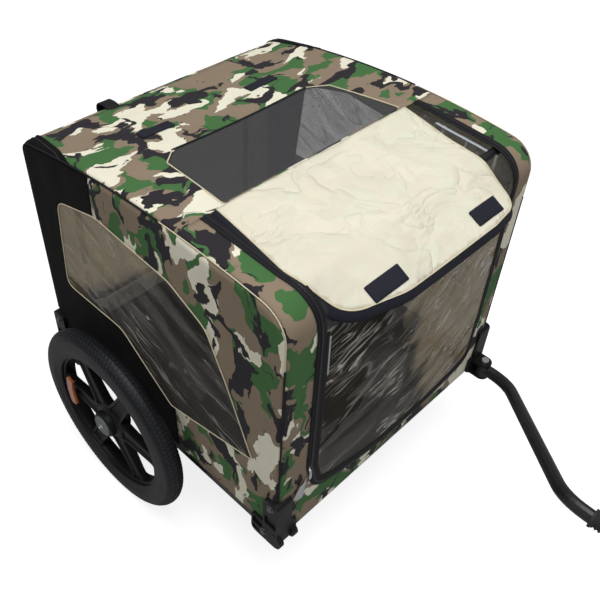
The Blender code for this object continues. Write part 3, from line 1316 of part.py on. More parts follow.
def make_hitch_plate():
    """A flat lug in the fork, and an upright plate with a hole for the bicycle's rear axle."""
    radius = HITCH_LUG_RADIUS
    lug_half = HITCH_LUG_THICKNESS / 2
    plate_y = ARM_END_Y - HITCH_PLATE_THICKNESS / 2
    start = FORK_PIN_X + FORK_WIDTH / 2 + radius * 0.6
    round_end = circle(FORK_PIN_X, ARM_END_Y, radius, 24, math.pi / 2)[:13]
    lug_outline = round_end + [(start + 0.008, ARM_END_Y - radius), (start + 0.008, ARM_END_Y + radius)]
    plate = prism("hitch_plate", lug_outline, "z", ARM_END_Z - lug_half, ARM_END_Z + lug_half, "bright_steel")
    half = HITCH_PLATE_WIDTH / 2
    upright_outline = rounded([
        (start, ARM_END_Z - half, 0.006), (PLATE_END_X, ARM_END_Z - half, 0.012),
        (PLATE_END_X, ARM_END_Z + half, 0.012), (start, ARM_END_Z + half, 0.006),
    ], steps=5)
    upright = prism("hitch_plate_upright", upright_outline, "y", plate_y, plate_y + HITCH_PLATE_THICKNESS)
    join(plate, upright)
    axle_hole = rod("hitch_axle_hole", "y", (PLATE_END_X - half, ARM_END_Z), HITCH_PLATE_HOLE_RADIUS,
                    ARM_END_Y - 0.05, ARM_END_Y + 0.05, steps=20)
    pin_hole = rod("hitch_pin_hole", "z", (FORK_PIN_X, ARM_END_Y), HITCH_PIN_RADIUS + GAP,
                   ARM_END_Z - 0.05, ARM_END_Z + 0.05)
    cut(plate, axle_hole, pin_hole)
    set_origin(plate, (FORK_PIN_X, ARM_END_Y, ARM_END_Z))


def main():
    make_base_frame()
    make_connectors()
    make_hoops()
    make_side_walls()
    make_roof()
    make_front()
    make_rear()
    make_flap()
    make_sliders()
    make_reflective_tab()
    for side in (-1, 1):
        make_axle(side)
        make_wheel(side)
    make_tow_arm()
    make_hitch()
    TRAILER.location = (ORIGIN_SHIFT_X, 0, 0)


main()
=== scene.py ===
"""The looks of the two-wheeled bicycle cargo trailer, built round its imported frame, in metres.

Lengths along the trailer are measured from the middle of the cabin, and row_frame() shifts them to
the frame. Cloth is laid out flat, cut to its outline and then placed: skin() wraps it over the cabin
from end to end, wall() stands it on a side, and peak() lays it over the front as the flap.
"""

import json
import math

import bmesh
import bpy
import numpy as np
from mathutils import Matrix, Vector, noise
from mathutils.geometry import delaunay_2d_cdt


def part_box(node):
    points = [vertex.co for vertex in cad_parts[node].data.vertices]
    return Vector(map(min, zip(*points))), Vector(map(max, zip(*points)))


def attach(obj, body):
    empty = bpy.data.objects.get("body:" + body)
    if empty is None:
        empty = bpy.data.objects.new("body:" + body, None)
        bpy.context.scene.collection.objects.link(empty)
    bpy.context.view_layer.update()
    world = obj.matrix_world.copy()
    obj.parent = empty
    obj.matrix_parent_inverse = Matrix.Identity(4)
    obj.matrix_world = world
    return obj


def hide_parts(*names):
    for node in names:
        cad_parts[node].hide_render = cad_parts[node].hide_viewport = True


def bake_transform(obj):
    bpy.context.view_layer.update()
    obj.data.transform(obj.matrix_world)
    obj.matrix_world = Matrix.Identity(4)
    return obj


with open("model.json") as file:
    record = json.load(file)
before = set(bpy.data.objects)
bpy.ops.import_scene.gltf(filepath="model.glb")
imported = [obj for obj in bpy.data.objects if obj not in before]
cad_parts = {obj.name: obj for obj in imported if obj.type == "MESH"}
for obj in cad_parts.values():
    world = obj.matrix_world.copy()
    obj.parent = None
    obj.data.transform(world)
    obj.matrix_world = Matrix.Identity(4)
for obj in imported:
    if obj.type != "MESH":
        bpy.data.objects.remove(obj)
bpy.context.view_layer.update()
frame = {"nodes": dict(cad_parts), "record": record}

# The cabin's sizes, from the frame
FRONT_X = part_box("front_surround")[1].x
REAR_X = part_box("rear_surround")[0].x
MIDDLE_X = (FRONT_X + REAR_X) / 2
HALF_LENGTH = (FRONT_X - REAR_X) / 2
HALF_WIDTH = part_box("left_side_panel_camo")[1].y
ROOF_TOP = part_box("roof_panel")[1].z
SKIRT_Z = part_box("front_surround")[0].z
RAIL_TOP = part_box("right_base_rail")[1].z

# The cabin's form, as the frame has it
ROOF_CREST_X = 0.080
REAR_ROOF_DROP = 0.041
FRONT_TOP_RADIUS = 0.055
REAR_TOP_RADIUS = 0.028
ROOF_ARCH = REAR_ROOF_DROP / (HALF_LENGTH + ROOF_CREST_X) ** 2
EDGE_ROUND = 0.013              # radius of the cloth where it turns over a hoop
CLOTH = 0.0012                  # thickness of the fabric
HINGE_X = 0.092                 # of the seam that the flap hangs from
DOOR_HINGE_Z = 0.655
DOOR_BOTTOM_Z = 0.250
DOOR_Y = (-0.237, 0.250)
DOOR_MIDDLE = (DOOR_Y[0] + DOOR_Y[1]) / 2
DOOR_HALF = (DOOR_Y[1] - DOOR_Y[0]) / 2
REAR_DOOR_HALF = 0.225
REAR_DOOR_BOTTOM_Z = 0.262
REAR_HINGE_Z = 0.640
ZIP_WIDTH = 0.013
SIDE_SEAM_TOP = (-0.115, 0.560)
SIDE_SEAM_BOTTOM = (0.058, 0.400)
WINDOW_CORNERS = [              # x, z and corner radius
    (-0.243, 0.418, 0.020),
    (-0.075, 0.425, 0.040),
    (0.048, 0.322, 0.016),
    (0.252, 0.366, 0.006),
    (0.197, 0.500, 0.080),
    (0.152, 0.592, 0.050),
    (0.070, 0.632, 0.060),
    (-0.110, 0.648, 0.080),
    (-0.222, 0.618, 0.032),
]

# How slack the cloth is
ROOF_SAG = 0.012
FRONT_BULGE = 0.022
REAR_BULGE = 0.008
SIDE_BULGE = 0.004


def row_frame(points):
    """Points measured from the middle of the cabin, as points of the frame."""
    moved = np.array(points, float).reshape(-1, 3)
    moved[:, 0] += MIDDLE_X
    return moved


# The line that the cloth follows from the front's bottom edge over the roof to the rear's

def roof_z(x):
    return ROOF_TOP - ROOF_ARCH * (x - ROOF_CREST_X) ** 2


def roof_lean(x):
    return math.atan(2 * ROOF_ARCH * (x - ROOF_CREST_X))


def top_corner(end, radius):
    """Centre of a top corner's arc, the x where it meets the roof, and the roof's lean there."""
    meet = end * (HALF_LENGTH - radius)
    for _ in range(12):
        meet = end * (HALF_LENGTH - radius) + radius * math.sin(roof_lean(meet))
    lean = roof_lean(meet)
    return (end * (HALF_LENGTH - radius), roof_z(meet) - radius * math.cos(lean)), meet, lean


def arc_points(end, radius, steps=24):
    """Points of a top corner from the wall up to the roof."""
    (centre_x, centre_z), _, lean = top_corner(end, radius)
    angles = np.linspace(0, math.pi / 2 - end * lean, steps)
    return [(centre_x + end * radius * math.cos(a), centre_z + radius * math.sin(a)) for a in angles]


FRONT_CORNER, FRONT_MEET_X, FRONT_LEAN = top_corner(1, FRONT_TOP_RADIUS)
REAR_MEET_X = top_corner(-1, REAR_TOP_RADIUS)[1]


class Run:
    """A bent line in the plane of x and z that gives its point and outward normal at any length along it."""

    def __init__(self, corners):
        corners = np.array(corners, float)
        steps = np.linalg.norm(np.diff(corners, axis=0), axis=1)
        at = np.concatenate([[0], np.cumsum(steps)])
        self.length = at[-1]
        self.s = np.linspace(0, self.length, int(self.length / 0.001))
        self.x = np.interp(self.s, at, corners[:, 0])
        self.z = np.interp(self.s, at, corners[:, 1])
        along_x, along_z = np.gradient(self.x), np.gradient(self.z)
        size = np.hypot(along_x, along_z)
        self.normal_x, self.normal_z = along_z / size, -along_x / size

    def at(self, s):
        """x, z and the outward normal at lengths along the line."""
        return [np.interp(s, self.s, values) for values in (self.x, self.z, self.normal_x, self.normal_z)]


def cabin_corners():
    wall_front = [(HALF_LENGTH, SKIRT_Z)] + arc_points(1, FRONT_TOP_RADIUS)
    roof = [(x, roof_z(x)) for x in np.linspace(FRONT_MEET_X, REAR_MEET_X, 60)[1:-1]]
    wall_rear = arc_points(-1, REAR_TOP_RADIUS)[::-1] + [(-HALF_LENGTH, SKIRT_Z)]
    return wall_front + roof + wall_rear


CABIN = Run(cabin_corners())


def s_roof(x):
    """Length along the run where the roof reaches x."""
    upper = (CABIN.z > roof_z(-HALF_LENGTH) - REAR_TOP_RADIUS) & (np.abs(CABIN.x) < HALF_LENGTH - 0.001)
    return float(np.interp(-x, -CABIN.x[upper], CABIN.s[upper]))


def s_front(z):
    return z - SKIRT_Z


def s_rear(z):
    return CABIN.length - (z - SKIRT_Z)


S_FRONT_BAR = s_roof(FRONT_MEET_X)
S_HINGE = s_roof(HINGE_X)
S_REAR_BAR = s_roof(REAR_MEET_X)


def arch(t):
    """A swell from 0 at t = 0 and 1 to 1 in the middle, and 0 outside."""
    return np.sin(np.pi * np.clip(t, 0, 1))


def bump(t):
    """A swell like arch() with a smooth foot at both ends."""
    return arch(t) ** 2


def ease(t):
    t = np.clip(t, 0, 1)
    return t * t * (3 - 2 * t)


def ripple(points, size, seed=0.0, stretch=(1.0, 1.0)):
    """Soft noise from -1 to 1 at flat points, with swells about a size across."""
    scaled = np.asarray(points)[:, :2] / (size * np.array(stretch))
    return np.array([noise.noise((u, v, seed)) for u, v in scaled])


def crumple(points, size, seed=0.0, stretch=(1.0, 1.0), slope=0.0):
    """Sharp creases as in film, at a slope in degrees: 1 along a crease and less away from it."""
    turn = math.radians(slope)
    u, v = points[:, 0], points[:, 1]
    along, across = u * math.cos(turn) - v * math.sin(turn), u * math.sin(turn) + v * math.cos(turn)
    leaning = np.column_stack([along, across])
    first = np.abs(ripple(leaning, size, seed, stretch))
    second = np.abs(ripple(leaning, size * 0.45, seed + 5.0, stretch))
    return 1.0 - 1.3 * np.sqrt(first) - 0.35 * np.sqrt(second)


def slack(s, y):
    """How far the cloth stands off the run: it sags between the bars and swells at the ends."""
    across = np.clip(1 - (y / (HALF_WIDTH - 0.015)) ** 2, 0, 1)
    roof = -ROOF_SAG * arch((s - S_HINGE) / (S_REAR_BAR - S_HINGE)) * across
    lid = -0.4 * ROOF_SAG * bump((s - S_FRONT_BAR) / (S_HINGE - S_FRONT_BAR)) * across
    inner = np.clip(1 - ((y - DOOR_MIDDLE) / DOOR_HALF) ** 2, 0, 1)
    front = FRONT_BULGE * arch(np.clip(s / S_FRONT_BAR, 0, 1) ** 0.75)
    front *= 0.1 * across ** 0.5 + 0.9 * inner ** 0.8
    rear = REAR_BULGE * arch((s - S_REAR_BAR) / (CABIN.length - S_REAR_BAR)) * across
    return roof + lid + front + rear


def skin(flat, lift=0.0):
    """Cloth wrapped over the cabin from end to end. flat holds lengths along the run and y."""
    s, y = flat[:, 0], flat[:, 1]
    x, z, normal_x, normal_z = CABIN.at(s)
    edge = np.clip((HALF_WIDTH - np.abs(y)) / EDGE_ROUND, 0, 1)
    turn = math.pi / 4 * (1 + edge)
    depth = EDGE_ROUND * (1 - np.sin(turn))
    out = slack(s, y) + lift
    side = np.where(edge < 1, HALF_WIDTH - EDGE_ROUND + EDGE_ROUND * np.cos(turn), np.abs(y))
    reach = out * np.sin(turn) - depth
    y_new = np.sign(y) * (side + out * np.cos(turn) * (edge < 1))
    return row_frame(np.column_stack([x + normal_x * reach, y_new, z + normal_z * reach]))


PROFILE = np.column_stack([CABIN.x, CABIN.z])


def wall_swell(x, z):
    """How far a side wall stands out of its plane."""
    along = bump((x + HALF_LENGTH) / (2 * HALF_LENGTH))
    up = bump((z - RAIL_TOP) / (ROOF_TOP - RAIL_TOP))
    return SIDE_BULGE * along * up


def wall(flat, side, lift=0.0):
    """Cloth standing on the cabin's left (1) or right (-1) side. flat holds x and z."""
    x, z = flat[:, 0], flat[:, 1]
    gaps = np.linalg.norm(PROFILE[None, ::4] - flat[:, None, :2], axis=2)
    nearest = gaps.argmin(axis=1) * 4
    edge = gaps.min(axis=1) / EDGE_ROUND
    turn = math.pi / 4 * (1 - np.clip(edge, 0, 1))
    push = np.where(edge < 1, EDGE_ROUND * (np.clip(edge, 0, 1) - (1 - np.sin(turn))), 0)
    out = lift + wall_swell(x, z)
    along = push + out * np.sin(turn)
    y = HALF_WIDTH - EDGE_ROUND + EDGE_ROUND * np.cos(turn) + out * np.cos(turn)
    placed = [x + CABIN.normal_x[nearest] * along, side * y, z + CABIN.normal_z[nearest] * along]
    return row_frame(np.column_stack(placed))


# Flat outlines

def rounded(corners, steps=6):
    """Rounds an outline whose corners are (u, v) or (u, v, radius)."""
    points = []
    for index, corner in enumerate(corners):
        here = Vector(corner[:2])
        before = Vector(corners[index - 1][:2]) - here
        after = Vector(corners[(index + 1) % len(corners)][:2]) - here
        radius = corner[2] if len(corner) > 2 else 0
        turn = math.pi - before.angle(after)
        if not radius or turn < math.radians(8):
            points.append(tuple(here))
            continue
        reach = min(radius * math.tan(turn / 2), 0.48 * before.length, 0.48 * after.length)
        start, end = here + before.normalized() * reach, here + after.normalized() * reach
        for step in range(steps + 1):
            t = step / steps
            points.append(tuple(start * (1 - t) ** 2 + here * 2 * t * (1 - t) + end * t ** 2))
    return points


def evenly(points, spacing, closed=True):
    """Points along a line at an even spacing, with the line's own corners kept."""
    points = [np.array(point, float) for point in points]
    ends = points[1:] + points[:1] if closed else points[1:]
    out = []
    for here, after in zip(points, ends):
        count = max(1, int(round(np.linalg.norm(after - here) / spacing)))
        out += [here + (after - here) * step / count for step in range(count)]
    if not closed:
        out.append(points[-1])
    return np.array(out)


def inside(points, loop):
    """Which points lie inside a closed loop."""
    x, y = points[:, 0][:, None], points[:, 1][:, None]
    x1, y1 = loop[:, 0], loop[:, 1]
    x2, y2 = np.roll(x1, -1), np.roll(y1, -1)
    crosses = (y1 > y) != (y2 > y)
    with np.errstate(divide="ignore", invalid="ignore"):
        at = (x2 - x1) * (y - y1) / (y2 - y1) + x1
    return (np.sum(crosses & (x < at), axis=1) % 2) == 1


def nearest_gap(points, line):
    """Distance from each point to the nearest point of a line."""
    gaps = [np.linalg.norm(line[None] - block[:, None], axis=2).min(axis=1)
            for block in np.array_split(points, max(1, len(points) // 2000))]
    return np.concatenate(gaps)


def cut_flat(outline, holes=(), spacing=0.008):
    """Points, triangles and edge line of a flat piece, filled with an even staggered grid."""
    loops = [evenly(loop, spacing) for loop in (outline, *holes)]
    low, high = loops[0].min(axis=0), loops[0].max(axis=0)
    rows = np.arange(low[1], high[1], spacing * 0.866)
    grid = np.array([(u + (row % 2) * spacing / 2, v)
                     for row, v in enumerate(rows) for u in np.arange(low[0], high[0], spacing)])
    line = np.concatenate(loops)
    keep = inside(grid, loops[0])
    for loop in loops[1:]:
        keep &= ~inside(grid, loop)
    grid = grid[keep]
    grid = grid[nearest_gap(grid, line) > 0.55 * spacing]
    edges, start = [], 0
    for loop in loops:
        edges += [(start + i, start + (i + 1) % len(loop)) for i in range(len(loop))]
        start += len(loop)
    corners = [Vector(point) for point in np.concatenate([line, grid])]
    made = delaunay_2d_cdt(corners, edges, [], 1, 1e-7)
    points = np.array([tuple(point) for point in made[0]])
    faces = [face for face in made[2] if len(face) == 3]
    centres = np.array([points[list(face)].mean(axis=0) for face in faces])
    keep = np.ones(len(faces), bool)
    for loop in loops[1:]:
        keep &= ~inside(centres, loop)
    return points, [face for face, kept in zip(faces, keep) if kept], line


def flat_area(points, faces):
    corners = points[np.array(faces)]
    first, second = corners[:, 1] - corners[:, 0], corners[:, 2] - corners[:, 0]
    return float(np.abs(first[:, 0] * second[:, 1] - first[:, 1] * second[:, 0]).sum() / 2)


# Pieces

SIDES = ((-1, "right"), (1, "left"))
CABIN_CENTRE = np.array([MIDDLE_X, 0, 0.45])
FOLD_MARGIN = 0.030             # from a cloth's edge in to where its folds have their full height
SHEETS = {}


def note_sheet(name, item, width, length, area, held, rests_on):
    """Keeps what is known of a sheet until all its trims are made."""
    SHEETS[name] = {"item": item, "flat": (width, length), "held": held, "rests_on": list(rests_on),
                    "area": area, "trims": []}


def add_piece(name, mesh, material, body, stands_for=()):
    """Links a mesh or curve as a piece in its material's slot. It rides on its body, if it has one."""
    item = bpy.data.objects.new(name, mesh)
    bpy.context.scene.collection.objects.link(item)
    mesh.materials.append(material)
    if body:
        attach(item, body)
    if stands_for:
        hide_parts(*stands_for)
    return item


def outward(points, faces):
    """Faces turned so that the middle one looks away from the cabin's centre."""
    a, b, c = (points[i] for i in faces[len(faces) // 2][:3])
    if np.dot(np.cross(b - a, c - a), a - CABIN_CENTRE) < 0:
        return [tuple(reversed(face)) for face in faces]
    return faces


def sewn(name, points, faces, layout, material, body, stands_for, thickness):
    """A smooth sheet of a thickness, with its flat layout in metres as its UV map and its cloth's lining."""
    mesh = bpy.data.meshes.new(name)
    mesh.from_pydata([tuple(point) for point in points], [], [tuple(face) for face in outward(points, faces)])
    mesh.shade_smooth()
    layer = mesh.uv_layers.new(name="Flat")
    index = np.zeros(len(mesh.loops), int)
    mesh.loops.foreach_get("vertex_index", index)
    layer.data.foreach_set("uv", np.ascontiguousarray(layout[index], np.float32).ravel())
    mesh.update()
    item = add_piece(name, mesh, material, body, stands_for)
    lining = LININGS.get(material.name)
    if lining:
        mesh.materials.append(lining)
    thick = item.modifiers.new("thickness", "SOLIDIFY")
    thick.thickness = thickness
    thick.offset = -1
    thick.material_offset = 1 if lining else 0
    return item


def cloth(name, outline, place, material, stands_for=(), body="trailer", holes=(), spacing=0.008,
          thickness=CLOTH, folds=None, swapped=False, held="stretched", rests_on=()):
    """A sheet cut flat to an outline and placed, with folds that fade out at its edges.

    swapped turns the cloth's pattern by a quarter, so that it runs the other way.
    """
    flat, faces, line = cut_flat(outline, holes, spacing)
    lift = 0.0
    if folds:
        lift = folds(flat) * ease(nearest_gap(flat, line) / FOLD_MARGIN)
    layout = flat[:, ::-1] if swapped else flat
    item = sewn(name, place(flat, lift), faces, layout, material, body, stands_for, thickness)
    width, length = (float(side) for side in flat.max(axis=0) - flat.min(axis=0))
    area = min(flat_area(flat, faces), width * length)
    if area < 0.35 * width * length:        # a bent band, whose length is half the way round it
        rim = np.array(outline)[:, :2]
        length = float(np.linalg.norm(rim - np.roll(rim, 1, axis=0), axis=1).sum() / 2)
        width = area / length
    note_sheet(name, item, width, length, area, held, rests_on)
    return item


def tubes(name, lines, radius, material, closed=False):
    """Round cords, such as piping, along lines of points."""
    curve = bpy.data.curves.new(name, "CURVE")
    curve.dimensions = "3D"
    curve.bevel_depth = radius
    curve.bevel_resolution = 2
    curve.use_fill_caps = True
    for line in lines:
        spline = curve.splines.new("POLY")
        spline.points.add(len(line) - 1)
        spline.points.foreach_set("co", np.column_stack([line, np.ones(len(line))]).ravel())
        spline.use_cyclic_u = closed
        spline.use_smooth = True
    add_piece(name, curve, material, "trailer")


# Materials

MIDDLE = (0.5, 0.5, 0.5)        # of a noise colour
WEAVE_PITCH = 0.0009


class Value:
    """A node's output that can be reckoned with: numbers by Math nodes, places and colours by VectorMath."""

    def __init__(self, nodes, socket):
        self.nodes, self.socket = nodes, socket

    def math(self, operation, first, second=0.0):
        kind = "Math" if self.socket.type == "VALUE" else "VectorMath"
        return self.nodes.add(kind, {0: first, 1: second}, operation=operation)

    def __add__(self, other):
        return self.math("ADD", self, other)

    def __sub__(self, other):
        return self.math("SUBTRACT", self, other)

    def __rsub__(self, other):
        return self.math("SUBTRACT", other, self)

    def __mul__(self, other):
        return self.math("MULTIPLY", self, other)

    def __pow__(self, other):
        return self.math("POWER", self, other)

    def __abs__(self):
        return self.math("ABSOLUTE", self)

    def or_more(self, other):
        """The larger of this and another value."""
        return self.math("MAXIMUM", self, other)

    def clamped(self):
        return self.nodes.add("Clamp", {0: self})

    def above(self, edge, softness=0.01):
        """1 where this is above an edge, 0 below it, with a soft step between."""
        inputs = {"Value": self, "From Min": edge - softness, "From Max": edge + softness}
        return self.nodes.add("MapRange", inputs, interpolation_type="SMOOTHSTEP")

    def stretched(self, along, across):
        """A place on the cloth, counted in cells of a length along and across it."""
        return self * (1 / along, 1 / across, 1.0)


class Nodes:
    """A node tree under construction."""

    def __init__(self, tree):
        self.tree = tree

    def feed(self, socket, value):
        """Links a Value to a socket, or sets a plain one. A colour can be given without its alpha."""
        if isinstance(value, Value):
            self.tree.links.new(value.socket, socket)
        elif socket.type == "RGBA":
            socket.default_value = (*value, 1.0)
        else:
            socket.default_value = value

    def add(self, kind, inputs=None, output=0, **settings):
        """One output of a new node."""
        node = self.tree.nodes.new("ShaderNode" + kind)
        for key, value in settings.items():
            setattr(node, key, value)
        for key, value in (inputs or {}).items():
            self.feed(node.inputs[key], value)
        return Value(self, node.outputs[output])


class Surface(Nodes):
    """A material under construction, round its Principled shader."""

    def __init__(self, name, colour, roughness, **sockets):
        self.material = bpy.data.materials.new(name)
        self.material.use_nodes = True
        super().__init__(self.material.node_tree)
        self.set("Base Color", colour)
        self.set("Roughness", roughness)
        for key, value in sockets.items():
            self.set(key.replace("_", " "), value)

    def set(self, socket, value):
        self.feed(self.tree.nodes["Principled BSDF"].inputs[socket], value)

    def flat(self):
        """The cloth's flat layout in metres."""
        return self.add("UVMap", uv_map="Flat")

    def noise(self, place, scale, detail=2.0, distortion=0.0, output="Fac"):
        inputs = {"Vector": place, "Scale": scale, "Detail": detail, "Distortion": distortion}
        return self.add("TexNoise", inputs, output)

    def shift(self, place, scale, detail, amount):
        """A shift by noise, of so much along and across the cloth."""
        return (self.noise(place, scale, detail, output="Color") - MIDDLE) * (*amount, 0.0)

    def mix(self, factor, first, second):
        """A blend of two colours."""
        return self.add("Mix", {0: factor, 6: first, 7: second}, 2, data_type="RGBA")

    def bump(self, height, strength, distance, normal=None):
        inputs = {"Height": height, "Strength": strength, "Distance": distance}
        if normal:
            inputs["Normal"] = normal
        return self.add("Bump", inputs)

    def threads(self, flat, pitch, distortion):
        """Waves that run both ways through the cloth, a pitch apart."""
        inputs = {"Vector": flat, "Scale": 1 / (math.pi * pitch), "Distortion": distortion}
        return [self.add("TexWave", inputs, "Fac", bands_direction=way) for way in ("X", "Y")]

    def weave(self, flat, pitch, strength, lumps):
        """Relief of a plain weave on cloth that already has soft lumps."""
        warp, weft = self.threads(flat, pitch, 0.4)
        self.set("Normal", self.bump(warp * weft, strength, pitch * 0.3, lumps))


def camouflage_colour(surface, flat, colours):
    """Woodland pattern: green, pale and dark blots on brown. The pale ones are torn, the dark ones branch."""
    brown, green, pale, dark = colours

    def field(place, corner, along, across):
        """Noise with cells of a length along and across the cloth."""
        return surface.noise((place + (*corner, 0.0)).stretched(along, across), 1.0, 1.0, 0.35)

    moved = flat + surface.shift(flat, 13.0, 2.0, (0.11, 0.08))
    moved = moved + surface.shift(flat, 48.0, 2.0, (0.026, 0.020))
    torn = moved + surface.shift(flat.stretched(7.0, 1.0), 130.0, 1.0, (0.026, 0.0))
    green_part = field(moved, (5.3, 1.9), 0.074, 0.056).above(0.532, 0.006)
    pale_part = field(torn, (7.9, 5.2), 0.092, 0.055).above(0.562, 0.005)
    branch = abs(field(moved, (4.4, 2.6), 0.120, 0.080) - 0.5)
    patch = field(torn, (1.3, 9.4), 0.068, 0.048)
    bough = patch * 0.55 - branch * 1.5
    dark_part = patch.above(0.600, 0.006).or_more(bough.above(0.252, 0.006))
    colour = surface.mix(green_part, brown, green)
    colour = surface.mix(pale_part, colour, pale)
    return surface.mix(dark_part, colour, dark)


BROWN = (0.290, 0.222, 0.155)
GREEN = (0.064, 0.172, 0.054)
PALE = (0.900, 0.860, 0.700)
DARK = (0.026, 0.023, 0.028)
CREAM = (0.830, 0.785, 0.630)
FADED = (0.822, 0.776, 0.620), (0.800, 0.790, 0.625), (0.845, 0.800, 0.652), (0.792, 0.760, 0.612)


def camouflage_material():
    surface = Surface("camouflage", BROWN, 0.85, Sheen_Weight=0.03, Specular_IOR_Level=0.25)
    flat = surface.flat()
    worn = surface.noise(flat, 25.0, 4.0) * 0.16 + 0.92
    surface.set("Base Color", camouflage_colour(surface, flat, (BROWN, GREEN, PALE, DARK)) * worn)
    surface.weave(flat, WEAVE_PITCH, 0.35, surface.bump(surface.noise(flat, 45.0, 3.0), 0.25, 0.003))
    return surface.material


def lightened(colour, share, rise):
    """A lighter tone of a colour."""
    return tuple(min(1.0, c * share + rise) for c in colour)


def plain_fabric(name, colour, pitch=WEAVE_PITCH, roughness=0.85, gloss=0.25):
    """Plain woven cloth of one colour with a little variation."""
    surface = Surface(name, colour, roughness, Sheen_Weight=0.02, Specular_IOR_Level=gloss)
    flat = surface.flat()
    cloud = surface.noise(flat, 18.0, 4.0)
    surface.set("Base Color", surface.mix(cloud, colour, lightened(colour, 1.35, 0.002)))
    surface.weave(flat, pitch, 0.4, surface.bump(surface.noise(flat, 40.0, 3.0), 0.3, 0.003))
    return surface.material


def cream_material():
    """The coated back of the patterned cloth: cream, creased, with the pattern faintly showing through and
    grey patches of painted shade for soft folds.
    """
    surface = Surface("cream_backing", CREAM, 0.70, Specular_IOR_Level=0.3)
    flat = surface.flat()
    # Grey patches: painted shade standing in for the shading of soft folds.
    painted_fold_shade = surface.noise(flat, 7.0, 4.0, 0.8).above(0.56, 0.14)
    pattern = camouflage_colour(surface, flat, FADED)
    surface.set("Base Color", surface.mix(painted_fold_shade * 0.35, pattern, (0.690, 0.655, 0.540)))
    ridge = abs(surface.noise(flat, 9.0, 3.0, 0.7) - 0.5) ** 0.6
    surface.weave(flat, WEAVE_PITCH, 0.15, surface.bump(ridge, 0.55, 0.022))
    return surface.material


def clear_material(name, slope, creased, tint, shade_way, shade_from, lit_inside_way, lit_inside_from):
    """Creased clear film with haze and gloss, and with light painted into it: a part painted near black where
    the inside behind it lies in shade, a part painted tan for the lit inside seen through it, and pale
    streaks along the creases that are partly the film's own whitening and partly painted highlights.

    The two ways are directions in the flat layout, and each painted part starts at a length along its own.
    """
    surface = Surface(name, tint, 0.10, IOR=1.5)
    flat = surface.flat()
    inputs = {"Vector": flat, "Angle": math.radians(slope)}
    leaning = surface.add("VectorRotate", inputs, rotation_type="Z_AXIS")
    bent = leaning + surface.shift(leaning, 7.0, 2.0, (0.0, 0.050))

    def lines(along, across, width, detail=2.0):
        """Thin lines where noise in long cells passes through its middle value."""
        value = surface.noise(bent.stretched(along, across), 1.0, detail, 0.2)
        return 1.0 - abs(value - 0.5).above(width, width)

    def part(way, start, wander, softness):
        """1 beyond a length along a direction of the cloth, with an edge that wanders along the creases."""
        reach = surface.add("VectorMath", {0: flat, 1: (*way, 0.0)}, "Value", operation="DOT_PRODUCT")
        blots = surface.noise(bent.stretched(0.120, 0.050), 1.0, 3.0, 0.6)
        return (reach + (blots - 0.5) * wander).above(start, softness)

    patches = surface.noise(bent, 8.0, 2.0, 0.5).above(0.60 - 0.10 * creased, 0.06)
    veil = surface.noise(bent.stretched(0.20, 0.030), 1.0, 3.0).above(0.50, 0.22)
    # Pale streaks along creases: partly the film's own whitening, partly painted highlights where the creases
    # would reflect light.
    sharp = patches * lines(0.160, 0.024, 0.010) * 0.42
    fine = patches * lines(0.100, 0.009, 0.020) * (0.16 * creased)
    whitening_and_highlights = sharp + lines(0.400, 0.060, 0.006) * 0.16 + fine
    # Dark lines along folds: painted shade in the creases.
    folds = patches * lines(0.110, 0.020, 0.012, 3.0) * (0.55 * creased)
    # Painted shade: near black and nearly opaque where the inside behind the film lies in shade.
    dark = (part(shade_way, shade_from, 0.30 * creased + 0.08, 0.012) * 0.78).or_more(folds)
    # Painted light: a tan tint where the lit inside shows through the film.
    lit_inside_tint = part(lit_inside_way, lit_inside_from, 0.10 * creased + 0.04, 0.02)
    facing_away = surface.add("LayerWeight", {"Blend": 0.25}, "Facing")
    cover = (veil * 0.17 + facing_away * 0.10 + lit_inside_tint * 0.20).or_more(dark)
    colour = surface.mix(lit_inside_tint, tint, (0.62, 0.50, 0.32))
    colour = surface.mix(dark, colour, (0.004, 0.004, 0.004))
    colour = surface.mix((whitening_and_highlights * 2.4).clamped(), colour, (0.62, 0.59, 0.53))
    surface.set("Base Color", colour)
    surface.set("Alpha", (cover + whitening_and_highlights).clamped())
    surface.set("Specular IOR Level", (0.75 - dark).clamped())
    surface.set("Roughness", veil * 0.14 + 0.04)
    surface.set("Normal", surface.bump(surface.noise(flat, 60.0, 2.0, 1.0), 0.25, 0.002))
    return surface.material


def net_material():
    """Fine open net: dark threads about two millimetres apart."""
    surface = Surface("roof_net", (0.085, 0.085, 0.090), 0.6, Specular_IOR_Level=0.3)
    warp, weft = (thread.above(0.62, 0.2) for thread in surface.threads(surface.flat(), 0.0022, 0.0))
    surface.set("Alpha", warp.or_more(weft) * 0.55 + 0.15)
    return surface.material


def solid_material(name, colour, roughness, grain=900.0, relief=0.15, metallic=0.0, wear=0.10, **sockets):
    """Moulded plastic, painted steel or rubber: a fine grain, small changes of colour and of gloss."""
    surface = Surface(name, colour, roughness, Metallic=metallic, **sockets)
    place = surface.add("TexCoord", output="Object")
    cloud = surface.noise(place, 14.0, 5.0)
    surface.set("Base Color", surface.mix(cloud, colour, lightened(colour, 1.6, 0.004)))
    surface.set("Roughness", cloud * (2 * wear) + (roughness - wear))
    surface.set("Normal", surface.bump(surface.noise(place, grain), relief, 0.0006))
    return surface.material


